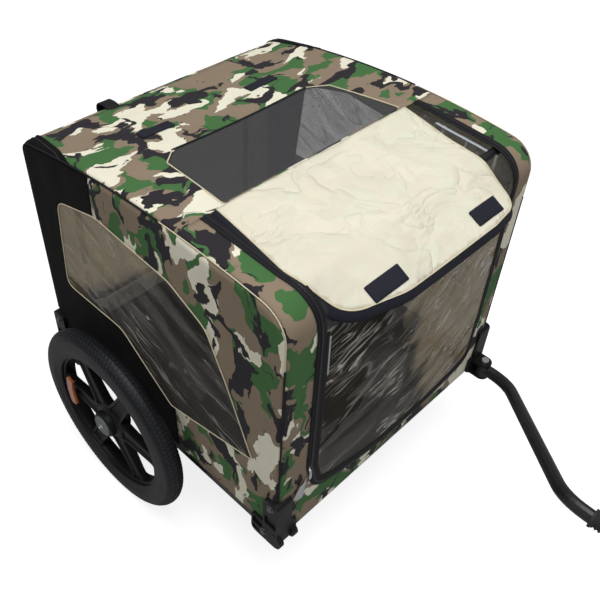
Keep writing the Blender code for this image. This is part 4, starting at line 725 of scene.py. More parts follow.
CAMOUFLAGE = camouflage_material()
CREAM_BACKING = cream_material()
BLACK_FABRIC = plain_fabric("black_fabric", (0.0032, 0.0031, 0.0034), gloss=0.12)
TAPE = plain_fabric("woven_tape", (0.0085, 0.0085, 0.0105), 0.0012, 0.7)
HOOK_TAPE = plain_fabric("hook_tape", (0.013, 0.014, 0.023), 0.0016, 0.8)
CREAM_PIPING = plain_fabric("cream_piping", (0.62, 0.56, 0.40))
SIDE_FILM = clear_material("side_film", 25.0, 0.15, (0.36, 0.33, 0.30), (0.0, -1.0), -0.440,
                           (-0.66, 0.75), 0.450)
TOP_FILM = clear_material("top_film", -68.0, 0.3, (0.12, 0.12, 0.12), (0.0, 1.0), 1.0, (0.0, 1.0), 1.0)
FRONT_FILM = clear_material("front_film", -68.0, 1.0, (0.22, 0.20, 0.165), (0.60, -1.0), 0.330,
                            (0.30, 1.0), 0.085)
NET = net_material()
MOULDED = solid_material("moulded_black", (0.0040, 0.0040, 0.0044), 0.46, Specular_IOR_Level=0.28)
STEEL_PAINT = solid_material("frame_paint", (0.009, 0.009, 0.010), 0.36, 500.0, 0.08)
BRIGHT = solid_material("bright_steel", (0.60, 0.61, 0.62), 0.28, 300.0, 0.05, 1.0)
DARK_STEEL = solid_material("dark_zinc", (0.16, 0.165, 0.17), 0.42, 300.0, 0.05, 0.9)
HUB_GREY = solid_material("hub_grey", (0.13, 0.14, 0.14), 0.5)
RUBBER = solid_material("tyre_rubber", (0.0070, 0.0078, 0.0105), 0.50, 700.0, 0.25, Specular_IOR_Level=0.42)
COUPLER_RUBBER = solid_material("coupler_rubber", (0.016, 0.016, 0.017), 0.7)
BOARD = solid_material("floor_board", (0.030, 0.030, 0.033), 0.6, 350.0, 0.3)
AMBER = solid_material("amber", (0.42, 0.105, 0.022), 0.20, 200.0, 0.6, Coat_Weight=0.6)
SILVER = plain_fabric("silver_tape", (0.46, 0.47, 0.49), 0.0012, 0.35)
# A pale blue-grey strip for the film's edges: partly the film's pale weld, partly a painted glint where the
# edge would reflect light.
WELD_GLINT = plain_fabric("film_glint_weld", (0.40, 0.43, 0.46), 0.0012, 0.3, 0.6)
COIL = solid_material("zip_coil", (0.020, 0.020, 0.024), 0.35, 900.0, 0.1)
STITCH = solid_material("stitching", (0.045, 0.045, 0.050), 0.8, 900.0, 0.1)

SLOTS = {                       # the materials of each slot; a CAD node that stays in view gets the first
    "frame_steel": [STEEL_PAINT],
    "bright_steel": [BRIGHT, DARK_STEEL, COIL],
    "moulded_black": [MOULDED],
    "hub_grey": [HUB_GREY],
    "tyre_rubber": [RUBBER],
    "coupler_rubber": [COUPLER_RUBBER],
    "floor_board": [BOARD],
    "amber_reflector": [AMBER],
    "black_tape": [TAPE, HOOK_TAPE, STITCH],
    "silver_tape": [SILVER],
    "black_fabric": [BLACK_FABRIC],
    "camouflage_fabric": [CAMOUFLAGE],
    "cream_fabric": [CREAM_BACKING, CREAM_PIPING],
    "clear_sheet": [SIDE_FILM, TOP_FILM, FRONT_FILM, WELD_GLINT],
    "roof_mesh_fabric": [NET],
}
LININGS = {CAMOUFLAGE.name: CREAM_BACKING, CREAM_BACKING.name: CAMOUFLAGE}


def dress_nodes():
    """Gives every CAD node that stays in view the material of its slot."""
    for part in frame["record"]["subparts"]:
        item = frame["nodes"].get(part["node"])
        if item and part["material_slot"] in SLOTS:
            item.data.materials.clear()
            item.data.materials.append(SLOTS[part["material_slot"]][0])


def make_walls():
    """The two sides: black cloth behind, patterned cloth in front, and the clear window between."""
    profile = [(x, z) for x, z in PROFILE[::8] if z > RAIL_TOP]
    outline = [(HALF_LENGTH, RAIL_TOP)] + profile + [(-HALF_LENGTH, RAIL_TOP)]
    window = rounded(WINDOW_CORNERS)
    for side, label in SIDES:
        def place(flat, lift=0.0):
            return wall(flat, side, lift)

        def waves(flat):
            return 0.0016 * ripple(flat, 0.09, side * 3.0, (0.5, 1.6))

        def creases(flat):
            return 0.0035 * crumple(flat, 0.055, side * 2.0, (3.2, 1.0), 35.0) - 0.0015

        for kind, material, front in (("black", BLACK_FABRIC, False), ("camo", CAMOUFLAGE, True)):
            cloth(f"{label}_side_{kind}", panel_outline(outline, window, front), place, material,
                  (f"{label}_side_panel_{kind}",), folds=waves, swapped=True, rests_on=(f"{label}_hoop",))
        cloth(f"{label}_window_film", window, place, SIDE_FILM, (f"{label}_side_window",), spacing=0.005,
              thickness=FILM, folds=creases)
        edge = evenly(window, STRIP_STEP)
        tubes(f"{label}_window_piping", [place(edge, 0.0006)], 0.0010, CREAM_PIPING, closed=True)


def panel_outline(outline, window, front):
    """The front or rear half of a side, with its part of the window cut out of its edge."""
    (low_x, low_z), (high_x, high_z) = SIDE_SEAM_BOTTOM, SIDE_SEAM_TOP

    def kept(point):
        return front == (point[0] > np.interp(point[1], (low_z, high_z), (low_x, high_x)))

    half = [point for point in outline if kept(point)]
    start = next(i for i, point in enumerate(window) if kept(point) and not kept(window[i - 1]))
    shore = [point for point in window[start:] + window[:start] if kept(point)][::-1]
    lower = [(low_x, RAIL_TOP), (low_x, min(window_heights(window, low_x)))]
    upper = [(high_x, roof_z(high_x)), (high_x, max(window_heights(window, high_x)))]
    if front:
        return lower[:1] + half + upper + shore + lower[1:]
    return upper[:1] + half + lower + shore + upper[1:]


def window_heights(window, x):
    """Heights of the window's edge at x."""
    return [z1 + (z2 - z1) * (x - x1) / (x2 - x1)
            for (x1, z1), (x2, z2) in zip(window, window[1:] + window[:1])
            if (x1 - x) * (x2 - x) <= 0 and x1 != x2]


# Strips, tapes and zips

FILM = 0.0006                   # thickness of the clear film
SEAM_GAP = 0.0006
COVERED_FROM = S_FRONT_BAR - 0.075      # length along the run where the flap starts to cover the film
STRIP_STEP = 0.006              # between the points along a strip
SEWN_LIFT = 0.0014              # of a tape that is sewn on cloth
TOOTH_PITCH = 0.0030
PANEL_INSET = ZIP_WIDTH + 0.001         # of a door's edge from its opening
HEM_INSET = ZIP_WIDTH + 0.004           # of the middle of its binding
HEM_WIDTH = 0.006
HEM_LIFT = 0.0016
# of the pale strip along the film's edge, partly a weld and partly a painted glint
WELD_GLINT_INSET = ZIP_WIDTH + 0.009


def headings(path):
    """Unit vectors along a flat path and to its left, at each point."""
    ahead = np.gradient(path, axis=0)
    ahead /= np.linalg.norm(ahead, axis=1)[:, None]
    return ahead, np.column_stack([-ahead[:, 1], ahead[:, 0]])


def grid_faces(rows, count, ring=True, wraps=False):
    """Faces between rows of points. A ring closes each row, and wraps joins the last row to the first."""
    faces = []
    for row in range(rows if wraps else rows - 1):
        low, high = row * count, (row + 1) % rows * count
        for i in range(count if ring else count - 1):
            after = (i + 1) % count
            faces.append((low + i, low + after, high + after, high + i))
    return faces


def ribbon(path, offsets):
    """Flat points, faces and layout of a strip along a path, with a row of points at each offset."""
    path = evenly(path, STRIP_STEP, False)
    across = headings(path)[1]
    at = np.concatenate([[0], np.cumsum(np.linalg.norm(np.diff(path, axis=0), axis=1))])
    flat = np.concatenate([path + across * offset for offset in offsets])
    layout = np.concatenate([np.column_stack([at, np.full(len(path), offset)]) for offset in offsets])
    return flat, grid_faces(len(offsets), len(path), ring=False), layout


def tape(name, path, width, place, material, lift=SEWN_LIFT, stands_for=(), body="trailer", thickness=0.0012,
         droop=None, held="stretched", rests_on=(), trims=None):
    """A strip of tape sewn along a flat path, or a narrow edging that trims a sheet.

    droop(share) lowers it across its width.
    """
    shares = np.linspace(0, 1, 5)
    flat, faces, layout = ribbon(path, (shares - 0.5) * width)
    lifts = np.full(len(flat), lift, float)
    if droop:
        lifts += np.repeat([droop(share) for share in shares], len(flat) // len(shares))
    item = sewn(name, place(flat, lifts), faces, layout, material, body, stands_for, thickness)
    length = float(layout[:, 0].max())
    if trims:
        SHEETS[trims]["trims"].append(item)
    else:
        note_sheet(name, item, width, length, width * length, held, rests_on)
    return item


def teeth(name, path):
    """A zip's coil: small teeth that lie in turn left and right of a flat path."""
    path = evenly(path, TOOTH_PITCH, False)
    ahead, across = headings(path)
    shift = np.where(np.arange(len(path)) % 2, 0.0005, -0.0005)[:, None]
    corners = [path + across * (shift + half * 0.0016) + ahead * along * 0.0009
               for half, along in ((-1, -1), (1, -1), (1, 1), (-1, 1))]
    flat = np.stack(corners, axis=1).reshape(-1, 2)
    points = np.concatenate([skin(flat, SEWN_LIFT), skin(flat, SEWN_LIFT + 0.0011)])
    top, faces = len(flat), []
    for first in range(0, top, 4):
        ring = [first, first + 1, first + 2, first + 3]
        faces.append(tuple(top + i for i in ring))
        faces += [(a, b, top + b, top + a) for a, b in zip(ring, ring[1:] + ring[:1])]
    hard_piece(name, [(points, faces, Matrix())], COIL, "trailer")


def corner_notch(side, s_at):
    """The cut-out for a corner connector, from the bottom edge to the cabin's side."""
    return [
        (s_at(SKIRT_Z), side * 0.257), (s_at(0.227), side * 0.257), (s_at(0.227), side * 0.271),
        (s_at(0.302), side * 0.271), (s_at(0.302), side * HALF_WIDTH),
    ]


def patch(near, far, node):
    """Outline of a small tape patch between two lengths, as wide as a CAD node."""
    low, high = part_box(node)
    corners = (near, low.y), (near, high.y), (far, high.y), (far, low.y)
    return rounded([(*corner, 0.002) for corner in corners], 2)


def soft_waves(seed, height=0.0016):
    """Gentle waves of cloth that is a little slack."""
    return lambda flat: height * ripple(flat, 0.10, seed, (1.6, 0.7))


def lifted(place, by):
    """A way to place cloth that lies higher than another by so much."""
    return lambda flat, lift=0.0: place(flat, lift + by)


NET_REAR = (-0.090, 0.150)      # x and y of the net's outline
NET_TURN = (-0.062, 0.186)
NET_FRONT = (0.086, 0.204)


def make_roof():
    """The patterned roof with its net, and the strips that hold the flap back."""
    half = [(*NET_REAR, 0.012), (*NET_TURN, 0.012), (*NET_FRONT, 0.008)]
    corners = [(x, -y, radius) for x, y, radius in half] + half[::-1]
    net = rounded([(s_roof(x), y, radius) for x, y, radius in corners])
    outline = [(S_HINGE + SEAM_GAP, -HALF_WIDTH), (S_HINGE + SEAM_GAP, HALF_WIDTH),
               (S_REAR_BAR, HALF_WIDTH), (S_REAR_BAR, -HALF_WIDTH)]
    cloth("roof_cloth", outline, skin, CAMOUFLAGE, ("roof_panel",), holes=[net], folds=soft_waves(4.0),
          swapped=True, rests_on=("front_top_bar", "rear_top_bar"))
    cloth("roof_net", net, skin, NET, ("roof_mesh",), thickness=0.0005, folds=soft_waves(6.0, 0.0012),
          swapped=True)
    rear_edge = [(s_roof(NET_REAR[0]) + 0.001, y) for y in (-0.155, 0.155)]
    tape("net_rear_binding", rear_edge, 0.004, skin, TAPE, 0.0012, trims="roof_net")
    for side, label in SIDES:
        corners = (NET_FRONT[0], 0.205), (NET_TURN[0], 0.188), (NET_REAR[0], 0.155)
        edge = [(s_roof(x), side * y) for x, y in corners]
        tape(f"net_{label}_edge", edge, 0.002, skin, CREAM_PIPING, 0.0012, trims="roof_net")
        low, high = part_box(f"{label}_loop_strip")
        middle = s_roof((low.x + high.x) / 2 - MIDDLE_X)
        strip = patch(middle - 0.011, middle + 0.011, f"{label}_loop_strip")
        cloth(f"{label}_loop_tape", strip, lifted(skin, 0.0022), HOOK_TAPE, (f"{label}_loop_strip",),
              spacing=0.005, thickness=0.0018)


def make_edges():
    """Piping where the walls meet the roof and the ends, and the black corner cloths at the rear."""
    notch = s_rear(0.304)
    black, cream = [], []
    stops = [s_front(0.304), s_front(0.625), s_roof(0.050), notch]
    for side, _ in SIDES:
        for lines, low, high in zip((black, cream, black), stops, stops[1:]):
            s = np.arange(low, high, STRIP_STEP)
            lines.append(skin(np.column_stack([s, np.full(len(s), side * HALF_WIDTH)]), 0.0009))
    tubes("black_edge_piping", black, 0.0016, TAPE)
    tubes("cream_edge_piping", cream, 0.0009, CREAM_PIPING)
    for side, label in SIDES:
        curve = [(s_roof(-0.165), 0.2990), (s_roof(-0.215), 0.2830), (s_roof(-0.280), 0.2730),
                 (s_rear(0.655), 0.2700)]
        band = [(s, side * y, 0.030) for s, y in curve] + [(notch, side * 0.2700)]
        outer = [(notch, side * HALF_WIDTH), (s_roof(-0.165), side * HALF_WIDTH)]
        cloth(f"{label}_corner_cloth", rounded(band + outer, 4), lifted(skin, 0.0013), BLACK_FABRIC,
              spacing=0.006, thickness=0.0010)
        seam = evenly(rounded([(s, y, 0.030) for s, y, *_ in band], 4)[3:], STRIP_STEP, False)
        tubes(f"{label}_corner_piping", [skin(seam, 0.0016)], 0.0012, TAPE)
        tubes(f"{label}_corner_stitches", [skin(ribbon(seam, (0.009 * side,))[0], 0.0018)], 0.0005, STITCH)


def front_opening(inset):
    """The U round the front door in the flat layout, drawn in: down from the hinge seam, across and up."""
    y_low, y_high = DOOR_Y
    corners = [
        (S_HINGE, y_low - 0.014), (s_roof(0.250), y_low - 0.014, 0.080), (s_front(0.650), y_low, 0.120),
        (s_front(0.345), y_low, 0.060), (s_front(DOOR_BOTTOM_Z + 0.024), y_low + 0.016, 0.045),
        (s_front(DOOR_BOTTOM_Z), -0.080, 0.200), (s_front(DOOR_BOTTOM_Z), y_high, 0.045), (S_HINGE, y_high),
        (S_HINGE, 0.0),
    ]
    path = ribbon(rounded(corners)[:-1], (-inset,))[0]
    path[[0, -1], 0] = S_HINGE
    return path


def leg_y(path, side, s):
    """y of the opening's left (1) or right (-1) leg at a length along the run."""
    leg = path[path[:, 1] * side > 0.17]
    leg = leg[np.argsort(leg[:, 0])]
    return float(np.interp(s, leg[:, 0], leg[:, 1]))


def leg_points(path, side, low, high):
    """Points of one leg between two lengths along the run, from low to high."""
    ends = [(s, leg_y(path, side, s)) for s in (low, high)]
    leg = path[(path[:, 1] * side > 0.17) & (path[:, 0] > low + 0.003) & (path[:, 0] < high - 0.003)]
    return [ends[0]] + [tuple(point) for point in leg[np.argsort(leg[:, 0])]] + [ends[1]]


def make_front():
    """The front: a patterned surround, the zip round the clear door, and the clear part over the door."""
    outline = corner_notch(-1, s_front) + [(S_HINGE, -HALF_WIDTH)]
    outline += [tuple(point) for point in front_opening(0.0)]
    outline += [(S_HINGE, HALF_WIDTH)] + corner_notch(1, s_front)[::-1]
    cloth("front_surround_cloth", outline, skin, CAMOUFLAGE, ("front_surround",), folds=soft_waves(8.0),
          rests_on=("front_top_bar", "front_cross_tube"))
    middle = front_opening(ZIP_WIDTH / 2)
    tape("front_zip_tape", middle, ZIP_WIDTH + 0.004, skin, TAPE, stands_for=("front_zip",))
    teeth("front_zip_coil", middle)
    inner = front_opening(PANEL_INSET)
    hinge = s_front(DOOR_HINGE_Z)
    right, left = (leg_points(inner, side, hinge + 0.0004, S_HINGE - 0.001) for side, _ in SIDES)
    cloth("front_top_film", right + left[::-1], under_flap, TOP_FILM, ("front_window",), spacing=0.006,
          thickness=FILM, folds=front_creases)
    low = [tuple(point) for point in inner if point[0] < hinge - 0.003]
    ends = [(hinge - 0.0004, leg_y(inner, side, hinge)) for side, _ in SIDES]
    film = cloth("front_door_film", ends[:1] + low + ends[1:], under_flap, FRONT_FILM, ("front_door",), None,
                 spacing=0.0045, thickness=FILM, folds=front_creases)
    hem = [tuple(point) for point in front_opening(HEM_INSET) if point[0] < hinge - 0.002]
    hang_door("front_door", film, hem)
    # Pale strips along the films' edges: partly welds, partly painted glints.
    seam = front_opening(WELD_GLINT_INSET)
    tape("front_film_glint_weld", leg_points(seam, -1, s_front(0.560), s_front(0.640)), 0.0035, skin, WELD_GLINT, 0.0010,
         body="front_door", thickness=FILM, trims="front_door_film")
    tape("top_film_glint_weld", leg_points(seam, 1, s_roof(0.262), s_roof(0.150)), 0.0060, under_flap, WELD_GLINT, 0.0010,
         thickness=FILM, trims="front_top_film")


def hang_door(door, panel, hem):
    """Binds a door's cloth with an edging tape along its hem."""
    edging = tape(f"{door}_binding", hem, HEM_WIDTH, skin, TAPE, HEM_LIFT, body=None, trims=panel.name)
    for item in (panel, edging):
        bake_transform(item)


def under_flap(flat, lift=0.0):
    """The clear part over the door lies a little lower where the flap covers it."""
    return skin(flat, lift - 0.0080 * ease((flat[:, 0] - COVERED_FROM) / 0.06))


def front_creases(flat):
    """Creases of the front film: long folds that run down across it, and hardly any under the flap."""
    long_folds = 0.0040 * crumple(flat, 0.050, 11.0, (4.0, 1.0), -68.0)
    wide = 0.0030 * crumple(flat, 0.12, 14.0, (0.8, 1.7))
    shown = 1 - 0.9 * ease((flat[:, 0] - COVERED_FROM) / 0.05)
    return (long_folds + wide - 0.0025) * shown


def rear_opening(inset, top=s_rear(REAR_HINGE_Z)):
    """The U round the rear door in the flat layout: down one side, along the bottom and up the other."""
    corner = max(0.045 - inset, 0.004)
    side, bottom = REAR_DOOR_HALF - inset, s_rear(REAR_DOOR_BOTTOM_Z + inset)
    corners = [(top, -side), (bottom, -side, corner), (bottom, side, corner), (top, side), (top, 0.0)]
    return rounded(corners)[:-1]


def make_rear():
    """The rear: a patterned surround and one zipped panel that swings up."""
    outline = corner_notch(-1, s_rear) + [(S_REAR_BAR + SEAM_GAP, side * HALF_WIDTH) for side in (-1, 1)]
    outline += corner_notch(1, s_rear)[::-1]
    cloth("rear_surround_cloth", outline, skin, CAMOUFLAGE, ("rear_surround",), holes=[rear_opening(0.0)],
          folds=soft_waves(9.0), rests_on=("rear_top_bar", "rear_cross_tube"))
    middle = rear_opening(ZIP_WIDTH / 2)
    tape("rear_zip_tape", middle, ZIP_WIDTH + 0.003, skin, TAPE, stands_for=("rear_zip",))
    teeth("rear_zip_coil", middle)
    panel = cloth("rear_door_cloth", rear_opening(PANEL_INSET), skin, CAMOUFLAGE, ("rear_door",), None,
                  folds=soft_waves(12.0, 0.0024))
    hem = rear_opening(HEM_INSET, s_rear(REAR_HINGE_Z) + 0.002)
    hang_door("rear_door", panel, hem)


# Flap

FLAP_LIFT = 0.0034              # of its upper face over the roof
FLAP_DROOP = math.radians(27.0)
FLAP_PEAK = 0.084
FLAP_CORNERS = [                # x, y and corner radius
    (0.0930, -0.222, 0), (0.262, -0.243, 0.090), (0.340, -0.200, 0.060), (0.3600, -0.110, 0.150),
    (0.3600, 0.110, 0.100), (0.352, 0.186, 0.038), (0.200, 0.188, 0.200), (0.0930, 0.208, 0),
]


def flap_corners():
    """The flap's line from its free end over the front top corner to the hinge seam."""
    reach = FRONT_TOP_RADIUS + FLAP_LIFT
    arc = [(FRONT_CORNER[0] + reach * math.sin(a), FRONT_CORNER[1] + reach * math.cos(a))
           for a in np.linspace(FLAP_DROOP, FRONT_LEAN, 24)]
    end = (arc[0][0] + FLAP_PEAK * math.cos(FLAP_DROOP), arc[0][1] - FLAP_PEAK * math.sin(FLAP_DROOP))
    roof = [(x + FLAP_LIFT * math.sin(roof_lean(x)), roof_z(x) + FLAP_LIFT * math.cos(roof_lean(x)))
            for x in np.linspace(FRONT_MEET_X, HINGE_X, 24)[1:]]
    return [end] + arc + roof


FLAP = Run(flap_corners())


def flap_s(x):
    """Length along the flap from its free end, at x."""
    return float(np.interp(-x, -FLAP.x, FLAP.s))


def peak(flat, lift=0.0):
    """Cloth laid over the front as the flap. flat holds lengths from the free end and y."""
    s, y = flat[:, 0], flat[:, 1]
    x, z, normal_x, normal_z = FLAP.at(np.clip(s, 0, None))
    beyond = np.clip(-s, 0, None)
    free = ease((0.105 - s) / 0.075)            # 1 at the free end, and 0 from the bend on
    corner = np.where(y > 0, 0.006, 0.012)      # how far the left and the right corner hang
    hang = -corner * free * ease((np.abs(y + 0.02) - 0.09) / 0.14) - 0.004 * free * np.cos(y * 26.0)
    out = lift + hang + 0.0022 * free * ripple(flat, 0.075, 3.0, (1.3, 0.8))
    along_x, along_z = np.cos(FLAP_DROOP), -np.sin(FLAP_DROOP)
    return row_frame(np.column_stack([x + normal_x * out + beyond * along_x, y,
                                      z + normal_z * out + beyond * along_z]))


def make_flap():
    """One cloth with its pale back upwards, a dark binding that hangs round its edge, and hook patches."""
    outline = rounded([(flap_s(x), y, radius) for x, y, radius in FLAP_CORNERS], 10)

    def creases(flat):
        wide = 0.0016 * crumple(flat, 0.16, 21.0, (0.8, 1.6))
        return wide + 0.0010 * crumple(flat, 0.07, 27.0, (1.3, 0.8)) - 0.001

    flap = cloth("flap_cloth", outline, peak, CREAM_BACKING, ("flap_rear", "flap_front"), None, spacing=0.006,
                 folds=creases, swapped=True, held="laid", rests_on=("front_top_bar",))
    edge = [point for point in outline if point[0] < FLAP.length - 0.002]
    edge = evenly([(FLAP.length - 0.001, -0.222)] + edge + [(FLAP.length - 0.001, 0.208)], STRIP_STEP, False)
    rim = tape("flap_rim", ribbon(edge, (0.0006,))[0], 0.0020, peak, CREAM_PIPING, 0.0005, body=None,
               thickness=0.0018, trims="flap_cloth")
    binding = tape("flap_binding", ribbon(edge, (0.0068,))[0], 0.0125, peak, HOOK_TAPE, -0.0012, body=None,
                   droop=lambda share: -0.011 * share ** 1.6, held="hung", rests_on=("flap_cloth",))
    start, end = row_frame([(0.262, 0, 0.733), (0.290, 0, 0.720)])
    for item in (flap, rim, binding):
        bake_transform(item)
    for _, label in SIDES:
        strip = patch(0.012, 0.040, f"{label}_hook_patch")
        cloth(f"{label}_hook_tape", strip, lifted(peak, 0.0016), HOOK_TAPE, (f"{label}_hook_patch",),
              "flap_front", spacing=0.005, thickness=0.0014)


# Hard pieces

TREAD = 0.0016                  # depth of its grooves


def turned(profile, steps):
    """Points and faces of a profile of (radius, height) turned about the Z axis."""
    angles = [2 * math.pi * step / steps for step in range(steps)]
    points = [(r * math.cos(a), r * math.sin(a), h) for r, h in profile for a in angles]
    return points, grid_faces(len(profile), steps)


def facing(axis, centre):
    """A matrix that stands a turned piece on a centre with its height along an axis."""
    turn = Vector((0, 0, 1)).rotation_difference(Vector(axis))
    return Matrix.Translation(centre) @ turn.to_matrix().to_4x4()


def middle_of(node):
    low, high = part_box(node)
    return low.lerp(high, 0.5)


def hard_piece(name, parts, material, body, stands_for=()):
    """One mesh from several (points, faces, matrix) parts."""
    points, faces = [], []
    for part_points, part_faces, matrix in parts:
        faces += [tuple(len(points) + i for i in face) for face in part_faces]
        points += [tuple(matrix @ Vector(point)) for point in part_points]
    mesh = bpy.data.meshes.new(name)
    mesh.from_pydata(points, [], faces)
    shape = bmesh.new()
    shape.from_mesh(mesh)
    bmesh.ops.remove_doubles(shape, verts=shape.verts, dist=1e-6)
    bmesh.ops.recalc_face_normals(shape, faces=shape.faces)
    shape.to_mesh(mesh)
    shape.free()
    mesh.shade_smooth()
    mesh.set_sharp_from_angle(angle=math.radians(35))
    return add_piece(name, mesh, material, body, stands_for)


def make_bolts():
    """Dark washers and round heads over the bolts of the four corner connectors."""
    profile = [(0.0001, 0.0), (0.0075, 0.0), (0.0075, 0.0006), (0.0072, 0.0009), (0.0050, 0.0009),
               (0.0050, 0.0034), (0.0044, 0.0041), (0.0028, 0.0043), (0.0026, 0.0034), (0.0001, 0.0034)]
    head = turned(profile, 24)
    for end, end_label in ((1, "front"), (-1, "rear")):
        for side, label in SIDES:
            centres = row_frame([(end * x, side * 0.3065, z) for x, z in ((0.3022, 0.285), (0.2885, 0.200))])
            parts = [(*head, facing((0, side, 0), centre)) for centre in centres]
            hard_piece(f"{end_label}_{label}_bolts", parts, DARK_STEEL, "trailer")


def tyre_rows():
    """Across the tyre from bead to bead: distance from its middle plane, radius, and whether it is tread."""
    middle, round_radius, half_width = 0.1745, 0.0225, 0.021
    wall_rows = [(0.0165, 0.1515), (0.0180, 0.1560), (0.0196, 0.1610), (0.0204, 0.1626), (0.0203, 0.1650),
                 (0.0209, 0.1690)]
    rows = [(-y, r, False) for y, r in wall_rows]
    for start in range(-66, 66, 22):
        for beyond, raised in ((2.4, False), (3.4, True), (18.6, True), (19.6, False)):
            turn = math.radians(start + beyond)
            radius = middle + (round_radius - TREAD) * math.cos(turn)
            rows.append((half_width * math.sin(turn), radius, raised))
    return rows + [(y, r, False) for y, r in wall_rows[::-1]]


def make_tyres():
    """Tyres with a tread of slanted blocks between grooves."""
    blocks, radius = 136, 0.197
    rows = tyre_rows()
    beats = [(0.00, False), (0.06, True), (0.74, True), (0.80, False)]
    points = []
    for block in range(blocks):
        for beat, high in beats:
            for y, r, raised in rows:
                slant = abs(y) * 0.55 if abs(y) < 0.020 else 0.011
                angle = 2 * math.pi * (block + beat) / blocks + slant / radius
                reach = r + (TREAD if raised and high else 0.0)
                points.append((reach * math.cos(angle), reach * math.sin(angle), y))
    faces = grid_faces(blocks * len(beats), len(rows), ring=False, wraps=True)
    for _, label in SIDES:
        matrix = facing((0, 1, 0), middle_of(f"{label}_tyre"))
        hard_piece(f"{label}_tread_tyre", [(points, faces, matrix)], RUBBER, f"{label}_wheel",
                   (f"{label}_tyre",))


def spoke(angle):
    """One broad moulded spoke: a tapering bar with a raised edge along each side of each face."""
    points, rows = [], 15
    for row in range(rows):
        share = row / (rows - 1)
        radius = 0.022 + 0.124 * share
        width = 0.0205 - 0.0050 * share + 0.010 * ease(1 - share * 4) + 0.009 * ease(share * 5 - 4)
        depth = 0.0100 - 0.0030 * share + 0.0035 * ease(share * 7 - 6)
        half = [(0.0, depth * 0.55), (width - 0.0080, depth * 0.60), (width - 0.0060, depth * 0.97),
                (width - 0.0022, depth), (width - 0.0002, depth * 0.84), (width, depth * 0.5)]
        upper = [(-side, height) for side, height in reversed(half[1:])] + half
        ring = upper + [(side, -height) for side, height in reversed(upper)]
        points += [(radius * math.cos(angle) - side * math.sin(angle),
                    radius * math.sin(angle) + side * math.cos(angle), height) for side, height in ring]
    count = len(points) // rows
    ends = [tuple(range(count)), tuple(range(len(points) - count, len(points)))]
    return points, grid_faces(rows, count) + ends


def make_wheel_mouldings():
    """The moulded wheels: a flanged rim with a stepped inner ring, a hub barrel and six broad spokes."""
    outer = [(0.1510, 0.0140), (0.1575, 0.0152), (0.1585, 0.0160), (0.1578, 0.0170), (0.1462, 0.0170),
             (0.1444, 0.0158), (0.1436, 0.0110), (0.1404, 0.0098), (0.1398, 0.0085)]
    hub = [(0.0113, 0.0235), (0.0248, 0.0235), (0.0268, 0.0216), (0.0280, 0.0120), (0.0360, 0.0092),
           (0.0400, 0.0060)]
    rim, barrel = (turned([(r, -y) for r, y in half] + half[::-1] + [(half[0][0], -half[0][1])], steps)
                   for half, steps in ((outer, 120), (hub, 72)))
    spokes = [spoke(math.radians(60 * turn)) for turn in range(6)]
    for side, label in SIDES:
        centre, seat = middle_of(f"{label}_wheel"), middle_of(f"{label}_reflector")
        matrix = facing((0, 1, 0), centre)
        parts = [(*part, matrix) for part in (rim, barrel, *spokes)]
        inner_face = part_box(f"{label}_reflector")[0 if side > 0 else 1].y
        depth = abs(inner_face - centre.y) - 0.0003
        post = turned([(0.0001, 0.004), (0.0070, 0.004), (0.0060, depth - 0.0006), (0.0054, depth),
                       (0.0001, depth)], 24)
        for rise in (-0.018, 0.018):
            parts.append((*post, facing((0, side, 0), Vector((seat.x, centre.y, seat.z + rise)))))
        hard_piece(f"{label}_moulded_wheel", parts, MOULDED, f"{label}_wheel", (f"{label}_wheel",))


def make_coupler():
    """The ribbed rubber coupler between the tow arm and the hitch."""
    low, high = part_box("hitch_coupler")
    length = high.x - low.x
    profile = [(0.004, 0.0)]
    for step in range(97):
        share = step / 96
        collar = 1.0 - ease(min(share, 1 - share) / 0.14 - 0.5)
        rib = 0.5 + 0.5 * math.cos(share * 2 * math.pi * 7)
        profile.append((0.0125 + 0.0045 * max(collar, 0.55 * rib), length * share))
    profile.append((0.004, length))
    middle = middle_of("hitch_coupler")
    start, end = (Vector((x, middle.y, middle.z)) for x in (low.x, high.x))
    coupler = hard_piece("ribbed_coupler", [(*turned(profile, 32), facing((1, 0, 0), start))], COUPLER_RUBBER,
                         None, ("hitch_coupler",))
    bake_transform(coupler)


def make_reflective_tab():
    """The folded reflective tab beside the front door's lower corner."""
    turn = math.radians(32.0)
    corners = [(-0.012, -0.021), (0.012, -0.021), (0.012, 0.021), (-0.012, 0.021)]
    outline = [(s_front(0.300) + v * math.cos(turn), -0.2535 + u * math.cos(turn) + v * math.sin(turn) * 0.5)
               for u, v in corners]

    def folded(flat, lift=0.0):
        rise = 0.006 * np.sin(np.pi * np.clip((flat[:, 1] + 0.2690) / 0.031, 0, 1)) ** 0.8
        return skin(flat, 0.0016 + rise + lift)

    cloth("folded_reflective_tab", outline, folded, SILVER, ("reflective_tab",), spacing=0.003,
          thickness=0.0010, held="folded")


def make_carrying_loop():
    """The webbing loop at the roof's rear edge."""
    corners = [(-0.288, roof_z(-0.288) + 0.002), (-0.305, 0.7010), (-0.3195, 0.6990), (-0.3230, 0.6880),
               (-0.3185, 0.6700), (-0.3150, 0.6560)]
    line = Run(rounded([(x, z, 0.008) for x, z in corners] + [(-0.25, 0.60)])[:-1])

    def looped(flat, lift=0.0):
        x, z, normal_x, normal_z = line.at(flat[:, 0])
        return row_frame(np.column_stack([x + normal_x * lift, flat[:, 1], z + normal_z * lift]))

    tape("carrying_loop", [(0.0, -0.1265), (line.length, -0.1265)], 0.025, looped, TAPE, 0.0, held="hung",
         rests_on=("rear_surround_cloth",))


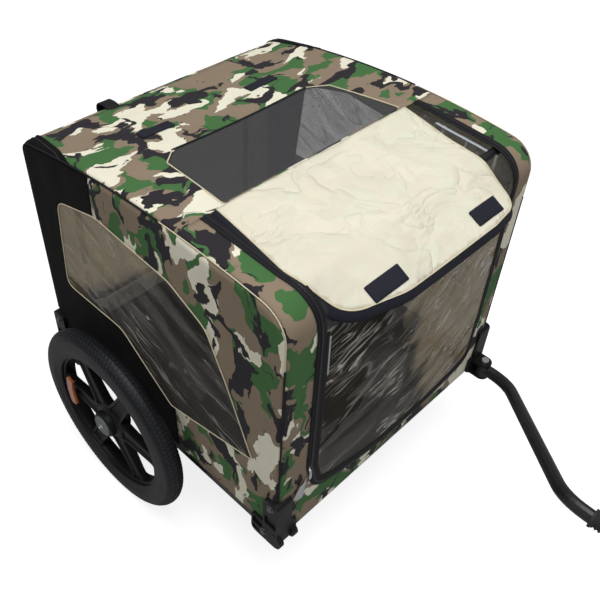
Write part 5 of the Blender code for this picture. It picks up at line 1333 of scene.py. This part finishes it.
def make_camera():
    """The camera stands where the photograph was taken from."""
    azimuth, elevation, roll = (math.radians(angle) for angle in (41.375, 43.443, 3.749))
    back = Vector((math.sin(azimuth) * math.cos(elevation), -math.cos(azimuth) * math.cos(elevation),
                   math.sin(elevation)))
    right = Vector((0, 0, 1)).cross(back).normalized()
    up = back.cross(right)
    across = right * math.cos(roll) + up * math.sin(roll)
    upward = up * math.cos(roll) - right * math.sin(roll)
    data = bpy.data.cameras.new("camera")
    data.lens, data.sensor_width = 46.88, 36.0
    camera = bpy.data.objects.new("camera", data)
    bpy.context.scene.collection.objects.link(camera)
    camera.matrix_world = Matrix((across, upward, back)).transposed().to_4x4()
    camera.location = (0.77913 + MIDDLE_X, -0.80825, 1.41571)
    bpy.context.scene.camera = camera


def make_studio():
    """A white floor that keeps the shadow, a white world and soft lamps."""
    scene = bpy.context.scene
    scene.view_settings.view_transform = "Standard"
    mesh = bpy.data.meshes.new("floor")
    mesh.from_pydata([(-8, -8, 0), (8, -8, 0), (8, 8, 0), (-8, 8, 0)], [], [(0, 1, 2, 3)])
    floor = bpy.data.objects.new("floor", mesh)
    scene.collection.objects.link(floor)
    surface = Surface("studio_floor", (0.50, 0.50, 0.50), 0.9)
    seen, through = (surface.add("LightPath", output=f"Is {way} Ray") for way in ("Camera", "Transmission"))
    surface.set("Emission Color", (1, 1, 1))
    surface.set("Emission Strength", seen.or_more(through) * 0.80)
    mesh.materials.append(surface.material)
    world = bpy.data.worlds.new("studio")
    scene.world = world
    world.use_nodes = True
    sky = Nodes(world.node_tree)
    background = world.node_tree.nodes["Background"].inputs
    sky.feed(background["Color"], (1, 1, 1))
    sky.feed(background["Strength"], sky.add("LightPath", output="Is Camera Ray") * 0.76 + 0.24)
    lamps = [                   # name, place, size, power
        ("key", (0.3, -0.3, 3.2), 2.2, 63.0),
        ("fill", (2.6, -1.6, 1.6), 1.6, 4.0),
        ("side", (-1.6, -2.4, 1.5), 1.6, 3.0),
    ]
    for name, place, size, power in lamps:
        data = bpy.data.lights.new(name, "AREA")
        data.size, data.energy = size, power
        lamp = bpy.data.objects.new(name, data)
        scene.collection.objects.link(lamp)
        lamp.location = place
        lamp.rotation_mode = "QUATERNION"
        lamp.rotation_quaternion = (Vector(place) - Vector((-0.2, 0, 0.4))).to_track_quat("Z", "Y")


dress_nodes()
make_walls()
make_roof()
make_edges()
make_front()
make_rear()
make_flap()
make_bolts()
make_tyres()
make_wheel_mouldings()
make_coupler()
make_reflective_tab()
make_carrying_loop()
make_camera()
make_studio()
